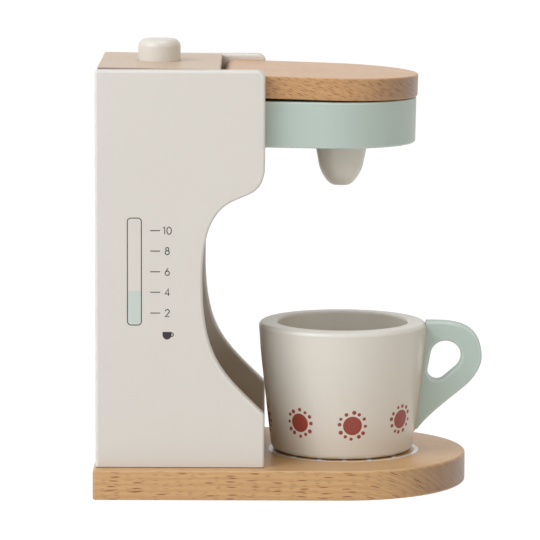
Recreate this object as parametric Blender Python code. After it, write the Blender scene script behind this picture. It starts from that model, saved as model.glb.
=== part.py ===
"""Toy coffee maker in wood: hinged lid, sprung button, brew head with nozzle, and a cup.

X runs from the machine's back to the front end of its base, Y across it, Z up.
The origin lies on the underside of the base plate, at its middle.
"""
from math import asin, atan2, cos, degrees, hypot, pi, radians, sin, tan

import bmesh
import bpy
from mathutils import Euler, Vector
from mathutils.geometry import interpolate_bezier

# Clearances
GLUE_GAP = 0.0003
RUNNING_GAP = 0.0004
DOWEL_GAP = 0.0003
CUT_OVERRUN = 0.002

# Base plate
BASE_LENGTH = 0.1675
BASE_MARGIN = 0.007
BASE_THICKNESS = 0.0135
BASE_EDGE = 0.0011

# Side panels and the space between them
BODY_WIDTH = 0.0996
BODY_DEPTH = 0.0751
BODY_SETBACK = 0.00095
PANEL_THICKNESS = 0.0075
PANEL_HEIGHT = 0.1767
PANEL_EDGE = 0.0013
PANEL_FRONT_CORNER = 0.0037
PANEL_REAR_CORNER = 0.0014
CUTOUT_DEPTH = 0.0286
CUTOUT_HEIGHT = 0.1019
CUTOUT_FOOT = 0.0249
CUTOUT_LOW_CORNER = 0.003
CUTOUT_HIGH_CORNER = 0.0042
CUTOUT_MIDDLE_SHARE = 0.587
CUTOUT_LOW_HANDLE_SHARES = (0.685, 0.087)
CUTOUT_MIDDLE_HANDLE_SHARES = (0.224, 0.335)
CUTOUT_HIGH_HANDLE_SHARES = (0.327, 0.081)

# Back panel
BACK_THICKNESS = 0.0076
BACK_RECESS = 0.0009

# Top block that carries the button
BLOCK_LENGTH = 0.05415
BLOCK_THICKNESS = 0.022
BLOCK_RISE = 0.0008
BLOCK_EDGE = 0.0004

# Button, its spring and its retainer
BUTTON_SETBACK = 0.0263
BUTTON_RADIUS = 0.0096
BUTTON_HEIGHT = 0.0099
BUTTON_SUNK = 0.0045
BUTTON_CROWN = 0.0036
BUTTON_TRAVEL = 0.005
BUTTON_FOOT_EDGE = 0.0006
STEM_RADIUS = 0.004
SPRING_CLOSED_HEIGHT = 0.005
SPRING_RADIUS = 0.0068
SPRING_WIRE = 0.0009
SPRING_TURNS = 3.5
WASHER_RADIUS = 0.0078
WASHER_THICKNESS = 0.001
BUTTON_SCREW_HEAD = 0.0034
BUTTON_SCREW_HEAD_HEIGHT = 0.0018
BUTTON_SCREW_SHANK = 0.0014
BUTTON_SCREW_LENGTH = 0.011

# Brew head, between the panels
HEAD_SLOPE = radians(0.95)
HEAD_DROP = 0.0142
HEAD_REACH = 0.0681
HEAD_TAIL = 0.0188
HEAD_THICKNESS = 0.0205
HEAD_EDGE = 0.0009
POCKET_RADIUS = 0.0235
POCKET_DEPTH = 0.0105
POCKET_PLACE = 0.0265
POCKET_CORNER = 0.002

# Nozzle under the head
NOZZLE_PLACE = 0.0347
NOZZLE_RADIUS = 0.01215
NOZZLE_LENGTH = 0.0201
NOZZLE_TIP_RADIUS = 0.0035
NOZZLE_SHOULDER_SHARES = (0.819, 0.56)
NOZZLE_BULGE_SHARES = (0.757, 0.70)
NOZZLE_TIP_SHARES = (0.543, 0.955)
TENON_RADIUS = 0.005
TENON_LENGTH = 0.006

# Lid and its pins
LID_SLOPE = radians(1.75)
LID_THICKNESS = 0.01
LID_LENGTH = 0.0829
LID_HINGE_SETBACK = 0.0141
LID_EDGE = 0.001
LID_SEAT_GAP = 0.0003
PIN_RADIUS = 0.0015
PIN_IN_PANEL = 0.0048
PIN_IN_LID = 0.012

# Cup
CUP_PLACE = 0.0279
CUP_HEIGHT = 0.0587
CUP_RIM_RADIUS = 0.0381
CUP_BELLY_RADIUS = 0.0374
CUP_BELLY_BELOW_RIM = 0.0192
CUP_FOOT_RADIUS = 0.0329
CUP_FOOT_EDGE = 0.0045
CUP_SIDE_CURVE = 0.15
CUP_MOUTH_RADIUS = 0.0297
CUP_FLOOR_RADIUS = 0.0245
CUP_FLOOR_THICKNESS = 0.0085
CUP_FLOOR_CORNER = 0.006
CUP_LIP_OUTER = 0.0036
CUP_LIP_INNER = 0.0028

# Cup handle, a board with a finger hole
HANDLE_THICKNESS = 0.0078
HANDLE_EDGE = 0.0012
HANDLE_REACH = 0.0250
HANDLE_DROP = 0.0475
HANDLE_BELOW_RIM = 0.0008
HANDLE_ROOT = 0.008
HANDLE_CROWN_SHARES = (0.224, 0.000)
HANDLE_NOSE_SHARES = (1.000, 0.315)
HANDLE_JAW_SHARES = (0.688, 0.592)
HANDLE_TAIL_SHARES = (-0.176, 1.000)
HANDLE_CROWN_PULL_SHARES = (0.468, 0.0)
HANDLE_NOSE_PULL_SHARES = (0.0, 0.178)
HANDLE_NOSE_DROP_SHARES = (0.0, 0.117)
HANDLE_JAW_PULL_SHARES = (0.170, 0.081)
HANDLE_JAW_DROP_SHARES = (0.316, 0.151)
HANDLE_TAIL_PULL_SHARES = (0.180, 0.126)
FINGER_WIDE_RADIUS = 0.0066
FINGER_NARROW_RADIUS = 0.0039
FINGER_WIDE_SHARES = (0.342, 0.305)
FINGER_NARROW_SHARES = (0.181, 0.439)

# Wooden dowels
HANDLE_DOWEL_RADIUS = 0.0014
HANDLE_DOWEL_IN_CUP = 0.0052
HANDLE_DOWEL_IN_HANDLE = 0.0058
HANDLE_DOWEL_DROPS = (0.0033, 0.0345)
BODY_DOWEL_RADIUS = 0.0025
BODY_DOWEL_IN_PANEL = 0.0048
BODY_DOWEL_IN_PIECE = 0.0115
BODY_DOWEL_INSET = 0.013

# Screws from below the base plate
BASE_SCREW_SHANK = 0.0017
BASE_SCREW_LENGTH = 0.028
BASE_SCREW_HEAD = 0.0036
BASE_SCREW_HEAD_HEIGHT = 0.0022
BASE_SCREW_SINK = 0.0012
BASE_SCREW_INSET = 0.0165

# Smoothness of round forms
TURN_STEPS = 56
HALF_TURN_STEPS = 28
SMALL_TURN_STEPS = 14
ARC_STEPS = 36
CURVE_STEPS = 12
STEP_ANGLE = radians(18)
EDGE_STEPS = 3
EDGE_ANGLE = radians(40)
COIL_POINTS = 10
COIL_FLAT_TURNS = 0.75

# Colours of the paints, woods and fittings
CREAM = (0.69, 0.64, 0.57)
MINT = (0.49, 0.60, 0.53)
BEECH = (0.60, 0.36, 0.18)
BEECH_TOP = (0.62, 0.46, 0.34)
BIRCH = (0.66, 0.48, 0.30)
STEEL = (0.60, 0.60, 0.60)

# Places that follow from the sizes
BASE_WIDTH = BODY_WIDTH + 2 * BASE_MARGIN
BASE_TOP = BASE_THICKNESS
PANEL_FOOT = BASE_TOP + GLUE_GAP
PANEL_TOP = PANEL_FOOT + PANEL_HEIGHT
BODY_REAR = BODY_SETBACK - BASE_LENGTH / 2
BODY_FRONT = BODY_REAR + BODY_DEPTH
PANEL_OUTER = BODY_WIDTH / 2
PANEL_INNER = PANEL_OUTER - PANEL_THICKNESS
INSIDE_HALF = PANEL_INNER - GLUE_GAP
BLOCK_REAR = BODY_REAR + BACK_RECESS
BLOCK_FRONT = BLOCK_REAR + BLOCK_LENGTH
BLOCK_BOTTOM = PANEL_TOP - BLOCK_THICKNESS
BUTTON_AXIS = BLOCK_REAR + BUTTON_SETBACK
BLOCK_TOP_AT_BUTTON = PANEL_TOP + BLOCK_RISE * (BLOCK_FRONT - BUTTON_AXIS) / BLOCK_LENGTH
HEAD_PIVOT = Vector((BODY_FRONT, 0, PANEL_TOP - HEAD_DROP))
LID_AXIS_X = BODY_FRONT - LID_HINGE_SETBACK
SPRING_SEAT_DEPTH = BUTTON_SUNK + BUTTON_TRAVEL + SPRING_CLOSED_HEIGHT
CUP_BOTTOM = BASE_TOP + GLUE_GAP
CUP_BELLY_HEIGHT = CUP_HEIGHT - CUP_BELLY_BELOW_RIM
HANDLE_TOP = CUP_HEIGHT - HANDLE_BELOW_RIM


def rounded(corners, radii, closed=True):
    """A flat line through corners, each turned into an arc of its radius."""
    points = []
    count = len(corners)
    for index, (corner, radius) in enumerate(zip(corners, radii)):
        at_end = not closed and index in (0, count - 1)
        if radius == 0 or at_end:
            points.append(tuple(corner))
            continue
        here = Vector(corner)
        back = (Vector(corners[index - 1]) - here).normalized()
        ahead = (Vector(corners[(index + 1) % count]) - here).normalized()
        half = back.angle(ahead) / 2
        centre = here + (back + ahead).normalized() * radius / sin(half)
        start = here + back * radius / tan(half) - centre
        turn = pi - 2 * half
        side = 1 if back.cross(ahead) < 0 else -1
        steps = max(2, round(turn / STEP_ANGLE))
        for step in range(steps + 1):
            angle = side * turn * step / steps
            points.append((centre.x + start.x * cos(angle) - start.y * sin(angle),
                           centre.y + start.x * sin(angle) + start.y * cos(angle)))
    return points


def bezier(start, start_pull, end_pull, end, steps=CURVE_STEPS):
    """Points of a curve between two knots, each pull being a step from its knot."""
    start, end = Vector(start).to_3d(), Vector(end).to_3d()
    first = start + Vector(start_pull).to_3d()
    second = end + Vector(end_pull).to_3d()
    return [tuple(point.xy) for point in interpolate_bezier(start, first, second, end, steps)]


def half_round_outline(rear, front, half_width, steps=ARC_STEPS):
    """A board seen from above: straight sides from rear, and a half circle round its front."""
    middle = front - half_width
    angles = [pi * step / steps - pi / 2 for step in range(steps + 1)]
    arc = [(middle + half_width * cos(angle), half_width * sin(angle)) for angle in angles]
    return [(rear, -half_width)] + arc + [(rear, half_width)]


def prism(corners, reach):
    """A closed solid: the flat outline through corners, pushed along reach."""
    solid = bmesh.new()
    face = solid.faces.new([solid.verts.new(corner) for corner in corners])
    pushed = bmesh.ops.extrude_face_region(solid, geom=[face])
    moved = [item for item in pushed["geom"] if isinstance(item, bmesh.types.BMVert)]
    bmesh.ops.translate(solid, verts=moved, vec=reach)
    bmesh.ops.recalc_face_normals(solid, faces=solid.faces)
    return solid


def board(outline, low, high):
    """A flat board whose outline is seen from above."""
    return prism([(x, y, low) for x, y in outline], Vector((0, 0, high - low)))


def side_board(outline, low, high):
    """An upright board whose outline is seen from its side."""
    return prism([(x, low, z) for x, z in outline], Vector((0, high - low, 0)))


def turned(profile, steps=TURN_STEPS):
    """A closed round solid: a line of radii and heights, spun round Z."""
    solid = bmesh.new()
    ring = [solid.verts.new((radius, 0, height)) for radius, height in profile]
    edges = [solid.edges.new(pair) for pair in zip(ring, ring[1:])]
    bmesh.ops.spin(solid, geom=ring + edges, axis=(0, 0, 1), angle=2 * pi, steps=steps, use_merge=True)
    poles = [vert for vert in solid.verts if hypot(vert.co.x, vert.co.y) < GLUE_GAP / 10]
    bmesh.ops.remove_doubles(solid, verts=poles, dist=GLUE_GAP / 5)
    bmesh.ops.recalc_face_normals(solid, faces=solid.faces)
    return solid


def rod(radius, start, end, steps=SMALL_TURN_STEPS):
    """A plain round rod from start to end."""
    start, end = Vector(start), Vector(end)
    length = (end - start).length
    solid = turned([(0, 0), (radius, 0), (radius, length), (0, length)], steps)
    turn = (end - start).to_track_quat("Z", "Y").to_matrix().to_4x4()
    turn.translation = start
    solid.transform(turn)
    return solid


def joined(solids):
    """Several separate solids as one mesh."""
    whole = bmesh.new()
    for solid in solids:
        piece = bpy.data.meshes.new("piece")
        solid.to_mesh(piece)
        solid.free()
        whole.from_mesh(piece)
        bpy.data.meshes.remove(piece)
    return whole


def placed(name, solid, place=(0, 0, 0), slope=0.0, parent=None):
    """An object of the solid, at its place and turned about Y by its slope."""
    mesh = bpy.data.meshes.new(name)
    solid.to_mesh(mesh)
    solid.free()
    thing = bpy.data.objects.new(name, mesh)
    bpy.context.scene.collection.objects.link(thing)
    thing.location = place
    thing.rotation_euler = Euler((0, slope, 0))
    thing.parent = parent
    return thing


def empty(name, place, slope=0.0):
    """A frame that carries the pieces of a sub-assembly."""
    frame = bpy.data.objects.new(name, None)
    bpy.context.scene.collection.objects.link(frame)
    frame.location = place
    frame.rotation_euler = Euler((0, slope, 0))
    return frame


def finished(thing, colour, roughness, metallic=0.0, smooth=False):
    """Give the object its own material and its shading."""
    material = bpy.data.materials.new(thing.name)
    material.use_nodes = True
    shader = material.node_tree.nodes["Principled BSDF"]
    shader.inputs["Base Color"].default_value = (*colour, 1)
    shader.inputs["Roughness"].default_value = roughness
    shader.inputs["Metallic"].default_value = metallic
    thing.data.materials.append(material)
    if smooth:
        thing.data.shade_smooth()
    return thing


def soften(thing, width):
    """Round the object's sharp edges."""
    edge = thing.modifiers.new("soft_edges", "BEVEL")
    edge.width = width
    edge.segments = EDGE_STEPS
    edge.limit_method = "ANGLE"
    edge.angle_limit = EDGE_ANGLE
    edge.use_clamp_overlap = False


def shaped(thing, name, solid, operation="DIFFERENCE", parent=None):
    """Cut the object with a solid, or keep only what the two share."""
    cutter = placed(name, solid, parent=parent)
    cutter.hide_render = True
    cutter.display_type = "WIRE"
    step = thing.modifiers.new(name, "BOOLEAN")
    step.operation = operation
    step.solver = "EXACT"
    step.object = cutter


def cutout_curve():
    """The front edge of a side panel where it is cut back, from its low to its high corner."""
    low_height = PANEL_FOOT + CUTOUT_FOOT
    low = (BODY_FRONT, low_height)
    middle = (BODY_FRONT - CUTOUT_DEPTH, low_height + CUTOUT_HEIGHT * CUTOUT_MIDDLE_SHARE)
    high = (BODY_FRONT, low_height + CUTOUT_HEIGHT)
    low_in, low_up = CUTOUT_LOW_HANDLE_SHARES
    high_in, high_down = CUTOUT_HIGH_HANDLE_SHARES
    low_pull = (-CUTOUT_DEPTH * low_in, CUTOUT_HEIGHT * low_up)
    high_pull = (-CUTOUT_DEPTH * high_in, -CUTOUT_HEIGHT * high_down)
    down, up = CUTOUT_MIDDLE_HANDLE_SHARES
    lower = bezier(low, low_pull, (0, -CUTOUT_HEIGHT * down), middle)
    upper = bezier(middle, (0, CUTOUT_HEIGHT * up), high_pull, high)
    return lower + upper[1:]


def panel_outline():
    """A side panel seen from its side, with its rounded corners and its cut-out."""
    curve = cutout_curve()
    corners = [(BODY_REAR, PANEL_FOOT), (BODY_FRONT, PANEL_FOOT), *curve,
               (BODY_FRONT, PANEL_TOP), (BODY_REAR, PANEL_TOP)]
    between = [0.0] * (len(curve) - 2)
    radii = [0.0, 0.0, CUTOUT_LOW_CORNER, *between, CUTOUT_HIGH_CORNER,
             PANEL_FRONT_CORNER, PANEL_REAR_CORNER]
    return rounded(corners, radii)


def body_dowel_places():
    """Places of the dowels seen from the side: block, back panel, and brew head."""
    block_height = BLOCK_BOTTOM + BLOCK_THICKNESS / 2
    block = [(BLOCK_REAR + BODY_DOWEL_INSET, block_height),
             (BLOCK_FRONT - BODY_DOWEL_INSET, block_height)]
    back_x = BLOCK_REAR + BACK_THICKNESS / 2
    back = [(back_x, PANEL_FOOT + 2 * BODY_DOWEL_INSET),
            (back_x, BLOCK_BOTTOM - 2 * BODY_DOWEL_INSET)]
    tail_shares = (0.26, 0.76)
    head_middle = HEAD_PIVOT.z - HEAD_THICKNESS / 2
    head = [(HEAD_PIVOT.x - HEAD_TAIL * share, head_middle + HEAD_TAIL * share * sin(HEAD_SLOPE))
            for share in tail_shares]
    return {"top_block_dowel": block, "back_panel_dowel": back, "brew_head_dowel": head}


def cross_rods(places, radius, inner, outer):
    """Rods across the machine at each place, from inner to outer on both sides."""
    return [rod(radius, (x, side * inner, z), (x, side * outer, z))
            for x, z in places for side in (-1, 1)]


def hinge_place():
    """Middle of the lid's pins, so that the closed lid lies on the front of the brew head."""
    seat_x = HEAD_PIVOT.x + HEAD_REACH * cos(HEAD_SLOPE)
    seat_z = HEAD_PIVOT.z - HEAD_REACH * sin(HEAD_SLOPE) + LID_SEAT_GAP
    rise = (seat_x - LID_AXIS_X) * tan(LID_SLOPE) + LID_THICKNESS / 2 / cos(LID_SLOPE)
    return Vector((LID_AXIS_X, 0, seat_z + rise))


def base_screw_places():
    """Places of the screws seen from above, under the middle of each side panel."""
    panel_middle = PANEL_OUTER - PANEL_THICKNESS / 2
    lengthwise = (BODY_REAR + BASE_SCREW_INSET, BODY_FRONT - BASE_SCREW_INSET)
    return [(x, side * panel_middle) for x in lengthwise for side in (-1, 1)]


def build_base():
    """The base plate, cut for its screws, and the screws."""
    outline = half_round_outline(-BASE_LENGTH / 2, BASE_LENGTH / 2, BASE_WIDTH / 2)
    plate = placed("base_plate", board(outline, 0, BASE_TOP))
    soften(plate, BASE_EDGE)
    top = BASE_SCREW_SINK + BASE_SCREW_HEAD_HEIGHT
    head_wide = BASE_SCREW_HEAD + DOWEL_GAP
    shank_wide = BASE_SCREW_SHANK + DOWEL_GAP
    hole = [(0, -CUT_OVERRUN), (head_wide, -CUT_OVERRUN), (head_wide, BASE_SCREW_SINK),
            (shank_wide, top + DOWEL_GAP), (shank_wide, BASE_TOP + CUT_OVERRUN),
            (0, BASE_TOP + CUT_OVERRUN)]
    screw = [(0, BASE_SCREW_SINK + DOWEL_GAP), (BASE_SCREW_HEAD, BASE_SCREW_SINK + DOWEL_GAP),
             (BASE_SCREW_SHANK, top + DOWEL_GAP), (BASE_SCREW_SHANK, BASE_SCREW_LENGTH),
             (0, BASE_SCREW_LENGTH + BASE_SCREW_SHANK)]
    holes = []
    for number, (x, y) in enumerate(base_screw_places(), start=1):
        solid = turned(hole, SMALL_TURN_STEPS)
        bmesh.ops.translate(solid, verts=solid.verts, vec=(x, y, 0))
        holes.append(solid)
        steel_screw = placed(f"base_screw_{number}", turned(screw, SMALL_TURN_STEPS), (x, y, 0))
        finished(steel_screw, STEEL, 0.35, 1.0, smooth=True)
    shaped(plate, "base_screw_holes", joined(holes))
    finished(plate, BEECH, 0.45)


def panel_holes(side):
    """Blind holes of one side panel: dowels and hinge pin from inside, screws from below."""
    inside = side * (PANEL_INNER - CUT_OVERRUN)
    dowel_end = side * (PANEL_INNER + BODY_DOWEL_IN_PANEL + DOWEL_GAP)
    radius = BODY_DOWEL_RADIUS + DOWEL_GAP
    solids = [rod(radius, (x, inside, z), (x, dowel_end, z))
              for places in body_dowel_places().values() for x, z in places]
    hinge = hinge_place()
    pin_end = side * (PANEL_INNER + PIN_IN_PANEL + DOWEL_GAP)
    solids.append(rod(PIN_RADIUS + DOWEL_GAP, (hinge.x, inside, hinge.z), (hinge.x, pin_end, hinge.z)))
    wide = BASE_SCREW_SHANK + DOWEL_GAP
    low, top = PANEL_FOOT - CUT_OVERRUN, BASE_SCREW_LENGTH + wide
    for x, y in base_screw_places():
        if y * side > 0:
            solids.append(rod(wide, (x, y, low), (x, y, top)))
    return joined(solids)


def build_panels():
    """The two side panels, mirror images with the cut-out that the cup stands in front of."""
    for name, side in (("side_panel_right", -1), ("side_panel_left", 1)):
        panel = placed(name, side_board(panel_outline(), side * PANEL_INNER, side * PANEL_OUTER))
        soften(panel, PANEL_EDGE)
        shaped(panel, name + "_holes", panel_holes(side))
        finished(panel, CREAM, 0.45)


def build_back():
    """The panel that closes the back between the side panels."""
    outline = [(BLOCK_REAR, -INSIDE_HALF), (BLOCK_REAR + BACK_THICKNESS, -INSIDE_HALF),
               (BLOCK_REAR + BACK_THICKNESS, INSIDE_HALF), (BLOCK_REAR, INSIDE_HALF)]
    panel = placed("back_panel", board(outline, PANEL_FOOT, BLOCK_BOTTOM - GLUE_GAP))
    soften(panel, BLOCK_EDGE)
    shaped(panel, "back_panel_holes", inner_dowel_holes("back_panel_dowel"))
    finished(panel, CREAM, 0.45)


def inner_dowel_holes(group):
    """Holes for one group of dowels in the piece between the side panels."""
    deep = INSIDE_HALF - BODY_DOWEL_IN_PIECE - DOWEL_GAP
    radius = BODY_DOWEL_RADIUS + DOWEL_GAP
    return joined(cross_rods(body_dowel_places()[group], radius, deep, PANEL_INNER + CUT_OVERRUN))


def build_body_dowels():
    """The dowels that join the block, the back panel and the brew head to the side panels."""
    inner = INSIDE_HALF - BODY_DOWEL_IN_PIECE
    outer = PANEL_INNER + BODY_DOWEL_IN_PANEL
    for name, places in body_dowel_places().items():
        for number, solid in enumerate(cross_rods(places, BODY_DOWEL_RADIUS, inner, outer), start=1):
            finished(placed(f"{name}_{number}", solid), BIRCH, 0.7, smooth=True)


def build_block():
    """The block on top, planed down towards the lid, with the stepped bore of the button."""
    outline = [(BLOCK_REAR, BLOCK_BOTTOM), (BLOCK_FRONT, BLOCK_BOTTOM),
               (BLOCK_FRONT, PANEL_TOP), (BLOCK_REAR, PANEL_TOP + BLOCK_RISE)]
    block = placed("top_block", side_board(outline, -INSIDE_HALF, INSIDE_HALF))
    soften(block, BLOCK_EDGE)
    seat = BLOCK_TOP_AT_BUTTON - SPRING_SEAT_DEPTH
    wide = BUTTON_RADIUS + RUNNING_GAP
    narrow = STEM_RADIUS + RUNNING_GAP
    high = PANEL_TOP + BLOCK_RISE + CUT_OVERRUN
    low = BLOCK_BOTTOM - CUT_OVERRUN
    profile = [(0, low), (narrow, low), (narrow, seat), (wide, seat), (wide, high), (0, high)]
    bore = turned(profile, HALF_TURN_STEPS)
    bmesh.ops.translate(bore, verts=bore.verts, vec=(BUTTON_AXIS, 0, 0))
    shaped(block, "button_bore", bore)
    shaped(block, "top_block_holes", inner_dowel_holes("top_block_dowel"))
    finished(block, BEECH_TOP, 0.5)


def build_button():
    """The button with its stem, and the washer and screw that hold it in the block."""
    frame = empty("button_axis", (BUTTON_AXIS, 0, BLOCK_TOP_AT_BUTTON))
    stem_end = BLOCK_BOTTOM - BLOCK_TOP_AT_BUTTON
    corners = [(0, BUTTON_HEIGHT), (BUTTON_RADIUS, BUTTON_HEIGHT), (BUTTON_RADIUS, -BUTTON_SUNK),
               (STEM_RADIUS, -BUTTON_SUNK), (STEM_RADIUS, stem_end), (0, stem_end)]
    radii = [0, BUTTON_CROWN, BUTTON_FOOT_EDGE, 0, 0, 0]
    solid = turned(rounded(corners, radii, closed=False), HALF_TURN_STEPS)
    button = placed("push_button", solid, parent=frame)
    screw_top = stem_end + BUTTON_SCREW_LENGTH
    wide = BUTTON_SCREW_SHANK + DOWEL_GAP
    pilot = rod(wide, (0, 0, stem_end - CUT_OVERRUN), (0, 0, screw_top + DOWEL_GAP))
    shaped(button, "button_pilot_hole", pilot, parent=frame)
    finished(button, CREAM, 0.35, smooth=True)
    washer_top = stem_end - DOWEL_GAP
    washer_low = washer_top - WASHER_THICKNESS
    disc = rod(WASHER_RADIUS, (0, 0, washer_low), (0, 0, washer_top), HALF_TURN_STEPS)
    washer = placed("button_washer", disc, parent=frame)
    hole = rod(wide, (0, 0, washer_low - CUT_OVERRUN), (0, 0, washer_top + CUT_OVERRUN))
    shaped(washer, "washer_hole", hole, parent=frame)
    finished(washer, STEEL, 0.35, 1.0)
    head_top = washer_low - DOWEL_GAP
    head_low = head_top - BUTTON_SCREW_HEAD_HEIGHT
    profile = [(0, screw_top), (BUTTON_SCREW_SHANK, screw_top - BUTTON_SCREW_SHANK),
               (BUTTON_SCREW_SHANK, head_top), (BUTTON_SCREW_HEAD, head_top),
               (BUTTON_SCREW_HEAD, head_low), (0, head_low)]
    screw = placed("button_screw", turned(profile, SMALL_TURN_STEPS), parent=frame)
    finished(screw, STEEL, 0.35, 1.0)
    build_spring(frame)


def spring_points():
    """Middle line of the coil, flat at both ends, from its seat up to the button."""
    low = SPRING_WIRE / 2 + GLUE_GAP - SPRING_SEAT_DEPTH
    high = -BUTTON_SUNK - SPRING_WIRE / 2 - GLUE_GAP
    flat_rise = SPRING_WIRE + 2 * GLUE_GAP
    turns = SPRING_TURNS + 2 * COIL_FLAT_TURNS
    count = round(turns * COIL_POINTS)
    points = []
    for index in range(count + 1):
        turn = turns * index / count
        if turn < COIL_FLAT_TURNS:
            height = low + flat_rise * turn
        elif turn > turns - COIL_FLAT_TURNS:
            height = high - flat_rise * (turns - turn)
        else:
            share = (turn - COIL_FLAT_TURNS) / SPRING_TURNS
            rise = high - low - 2 * flat_rise * COIL_FLAT_TURNS
            height = low + flat_rise * COIL_FLAT_TURNS + rise * share
        angle = 2 * pi * turn
        points.append((SPRING_RADIUS * cos(angle), SPRING_RADIUS * sin(angle), height))
    return points


def least_coil_gap(points):
    """Least distance between the surfaces of neighbouring curls."""
    vectors = [Vector(point) for point in points]
    near = round(COIL_POINTS / 2)
    least = min((first - second).length
                for index, first in enumerate(vectors) for second in vectors[index + near:])
    return least - SPRING_WIRE


def build_spring(frame):
    """The coil spring round the stem, one unbroken tube."""
    points = spring_points()
    line = bpy.data.curves.new("button_spring", "CURVE")
    line.dimensions = "3D"
    line.bevel_depth = SPRING_WIRE / 2
    line.bevel_resolution = 1
    line.use_fill_caps = True
    path = line.splines.new("POLY")
    path.points.add(len(points) - 1)
    for spot, point in zip(path.points, points):
        spot.co = (*point, 1)
    spring = bpy.data.objects.new("button_spring", line)
    bpy.context.scene.collection.objects.link(spring)
    spring.parent = frame
    finished(spring, STEEL, 0.3, 1.0)
    print("least gap between the spring's curls, in metres:", round(least_coil_gap(points), 6))


def build_head():
    """The brew head with its pocket, and the nozzle under it, in one sloping frame."""
    frame = empty("brew_head_frame", HEAD_PIVOT, HEAD_SLOPE)
    outline = half_round_outline(-HEAD_TAIL, HEAD_REACH, INSIDE_HALF)
    head = placed("brew_head", board(outline, -HEAD_THICKNESS, 0), parent=frame)
    soften(head, HEAD_EDGE)
    corners = [(0, -POCKET_DEPTH), (POCKET_RADIUS, -POCKET_DEPTH),
               (POCKET_RADIUS, CUT_OVERRUN), (0, CUT_OVERRUN)]
    pocket = turned(rounded(corners, [0, POCKET_CORNER, 0, 0], closed=False), HALF_TURN_STEPS)
    bmesh.ops.translate(pocket, verts=pocket.verts, vec=(POCKET_PLACE, 0, 0))
    shaped(head, "pocket_cut", pocket, parent=frame)
    mortise_low = -HEAD_THICKNESS - CUT_OVERRUN
    mortise_high = -HEAD_THICKNESS + TENON_LENGTH + DOWEL_GAP
    mortise = rod(TENON_RADIUS + DOWEL_GAP,
                  (NOZZLE_PLACE, 0, mortise_low), (NOZZLE_PLACE, 0, mortise_high))
    shaped(head, "nozzle_mortise", mortise, parent=frame)
    shaped(head, "brew_head_holes", inner_dowel_holes("brew_head_dowel"))
    finished(head, MINT, 0.45)
    build_nozzle(frame)


def build_nozzle(frame):
    """The turned nozzle, held in the head by its tenon."""
    shoulder_radius, shoulder_drop = NOZZLE_SHOULDER_SHARES
    bulge_radius, bulge_drop = NOZZLE_BULGE_SHARES
    tip_radius, tip_drop = NOZZLE_TIP_SHARES
    shoulder = (NOZZLE_RADIUS * shoulder_radius, -NOZZLE_LENGTH * shoulder_drop)
    bulge = (NOZZLE_RADIUS * bulge_radius, -NOZZLE_LENGTH * bulge_drop)
    near_tip = (NOZZLE_RADIUS * tip_radius, -NOZZLE_LENGTH * tip_drop)
    tip = (NOZZLE_TIP_RADIUS, -NOZZLE_LENGTH)
    knots = [Vector(knot).to_3d() for knot in (shoulder, bulge, near_tip, tip)]
    curve = interpolate_bezier(*knots, CURVE_STEPS)
    profile = [(0, TENON_LENGTH), (TENON_RADIUS, TENON_LENGTH), (TENON_RADIUS, 0), (NOZZLE_RADIUS, 0)]
    profile += [tuple(point.xy) for point in curve] + [(0, -NOZZLE_LENGTH)]
    nozzle = placed("nozzle", turned(profile, HALF_TURN_STEPS),
                    (NOZZLE_PLACE, 0, -HEAD_THICKNESS - GLUE_GAP), parent=frame)
    finished(nozzle, CREAM, 0.4, smooth=True)


def build_lid():
    """The lid with its round hinge end, turning on two pins in the side panels."""
    half_width = PANEL_INNER - RUNNING_GAP
    radius = LID_THICKNESS / 2
    steps = CURVE_STEPS
    angles = [pi / 2 + pi * step / steps for step in range(steps + 1)]
    section = [(radius * cos(angle), radius * sin(angle)) for angle in angles]
    section += [(LID_LENGTH, -radius), (LID_LENGTH, radius)]
    hinge = hinge_place()
    lid = placed("lid", side_board(section, -half_width, half_width), hinge, LID_SLOPE)
    outline = half_round_outline(-LID_THICKNESS, LID_LENGTH, half_width)
    plan = board(outline, -LID_THICKNESS, LID_THICKNESS)
    frame = empty("lid_frame", hinge, LID_SLOPE)
    shaped(lid, "lid_plan", plan, "INTERSECT", parent=frame)
    soften(lid, LID_EDGE)
    deep = half_width - PIN_IN_LID - DOWEL_GAP
    holes = cross_rods([(0, 0)], PIN_RADIUS + RUNNING_GAP, deep, half_width + CUT_OVERRUN)
    shaped(lid, "lid_pin_holes", joined(holes), parent=frame)
    finished(lid, BEECH, 0.45)
    inner, outer = half_width - PIN_IN_LID, PANEL_INNER + PIN_IN_PANEL
    pins = cross_rods([(hinge.x, hinge.z)], PIN_RADIUS, inner, outer)
    for name, pin in zip(("lid_pin_right", "lid_pin_left"), pins):
        finished(placed(name, pin), STEEL, 0.3, 1.0, smooth=True)


def cup_outside(growth=0.0):
    """The cup's outer line from its foot to its rim, grown outward for a fitting cut."""
    foot = (CUP_FOOT_RADIUS + growth, 0)
    belly = (CUP_BELLY_RADIUS + growth, CUP_BELLY_HEIGHT)
    rim = (CUP_RIM_RADIUS + growth, CUP_HEIGHT)
    return [foot, belly, rim]


def build_cup():
    """The turned cup, its handle, and the dowels between them."""
    frame = empty("cup_frame", (CUP_PLACE, 0, CUP_BOTTOM))
    corners = [(0, 0), *cup_outside(), (CUP_MOUTH_RADIUS, CUP_HEIGHT),
               (CUP_FLOOR_RADIUS, CUP_FLOOR_THICKNESS), (0, CUP_FLOOR_THICKNESS)]
    radii = [0, CUP_FOOT_EDGE, CUP_SIDE_CURVE, CUP_LIP_OUTER, CUP_LIP_INNER, CUP_FLOOR_CORNER, 0]
    cup = placed("cup_body", turned(rounded(corners, radii, closed=False)), parent=frame)
    finished(cup, CREAM, 0.35, smooth=True)
    build_handle(frame, cup)


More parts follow.
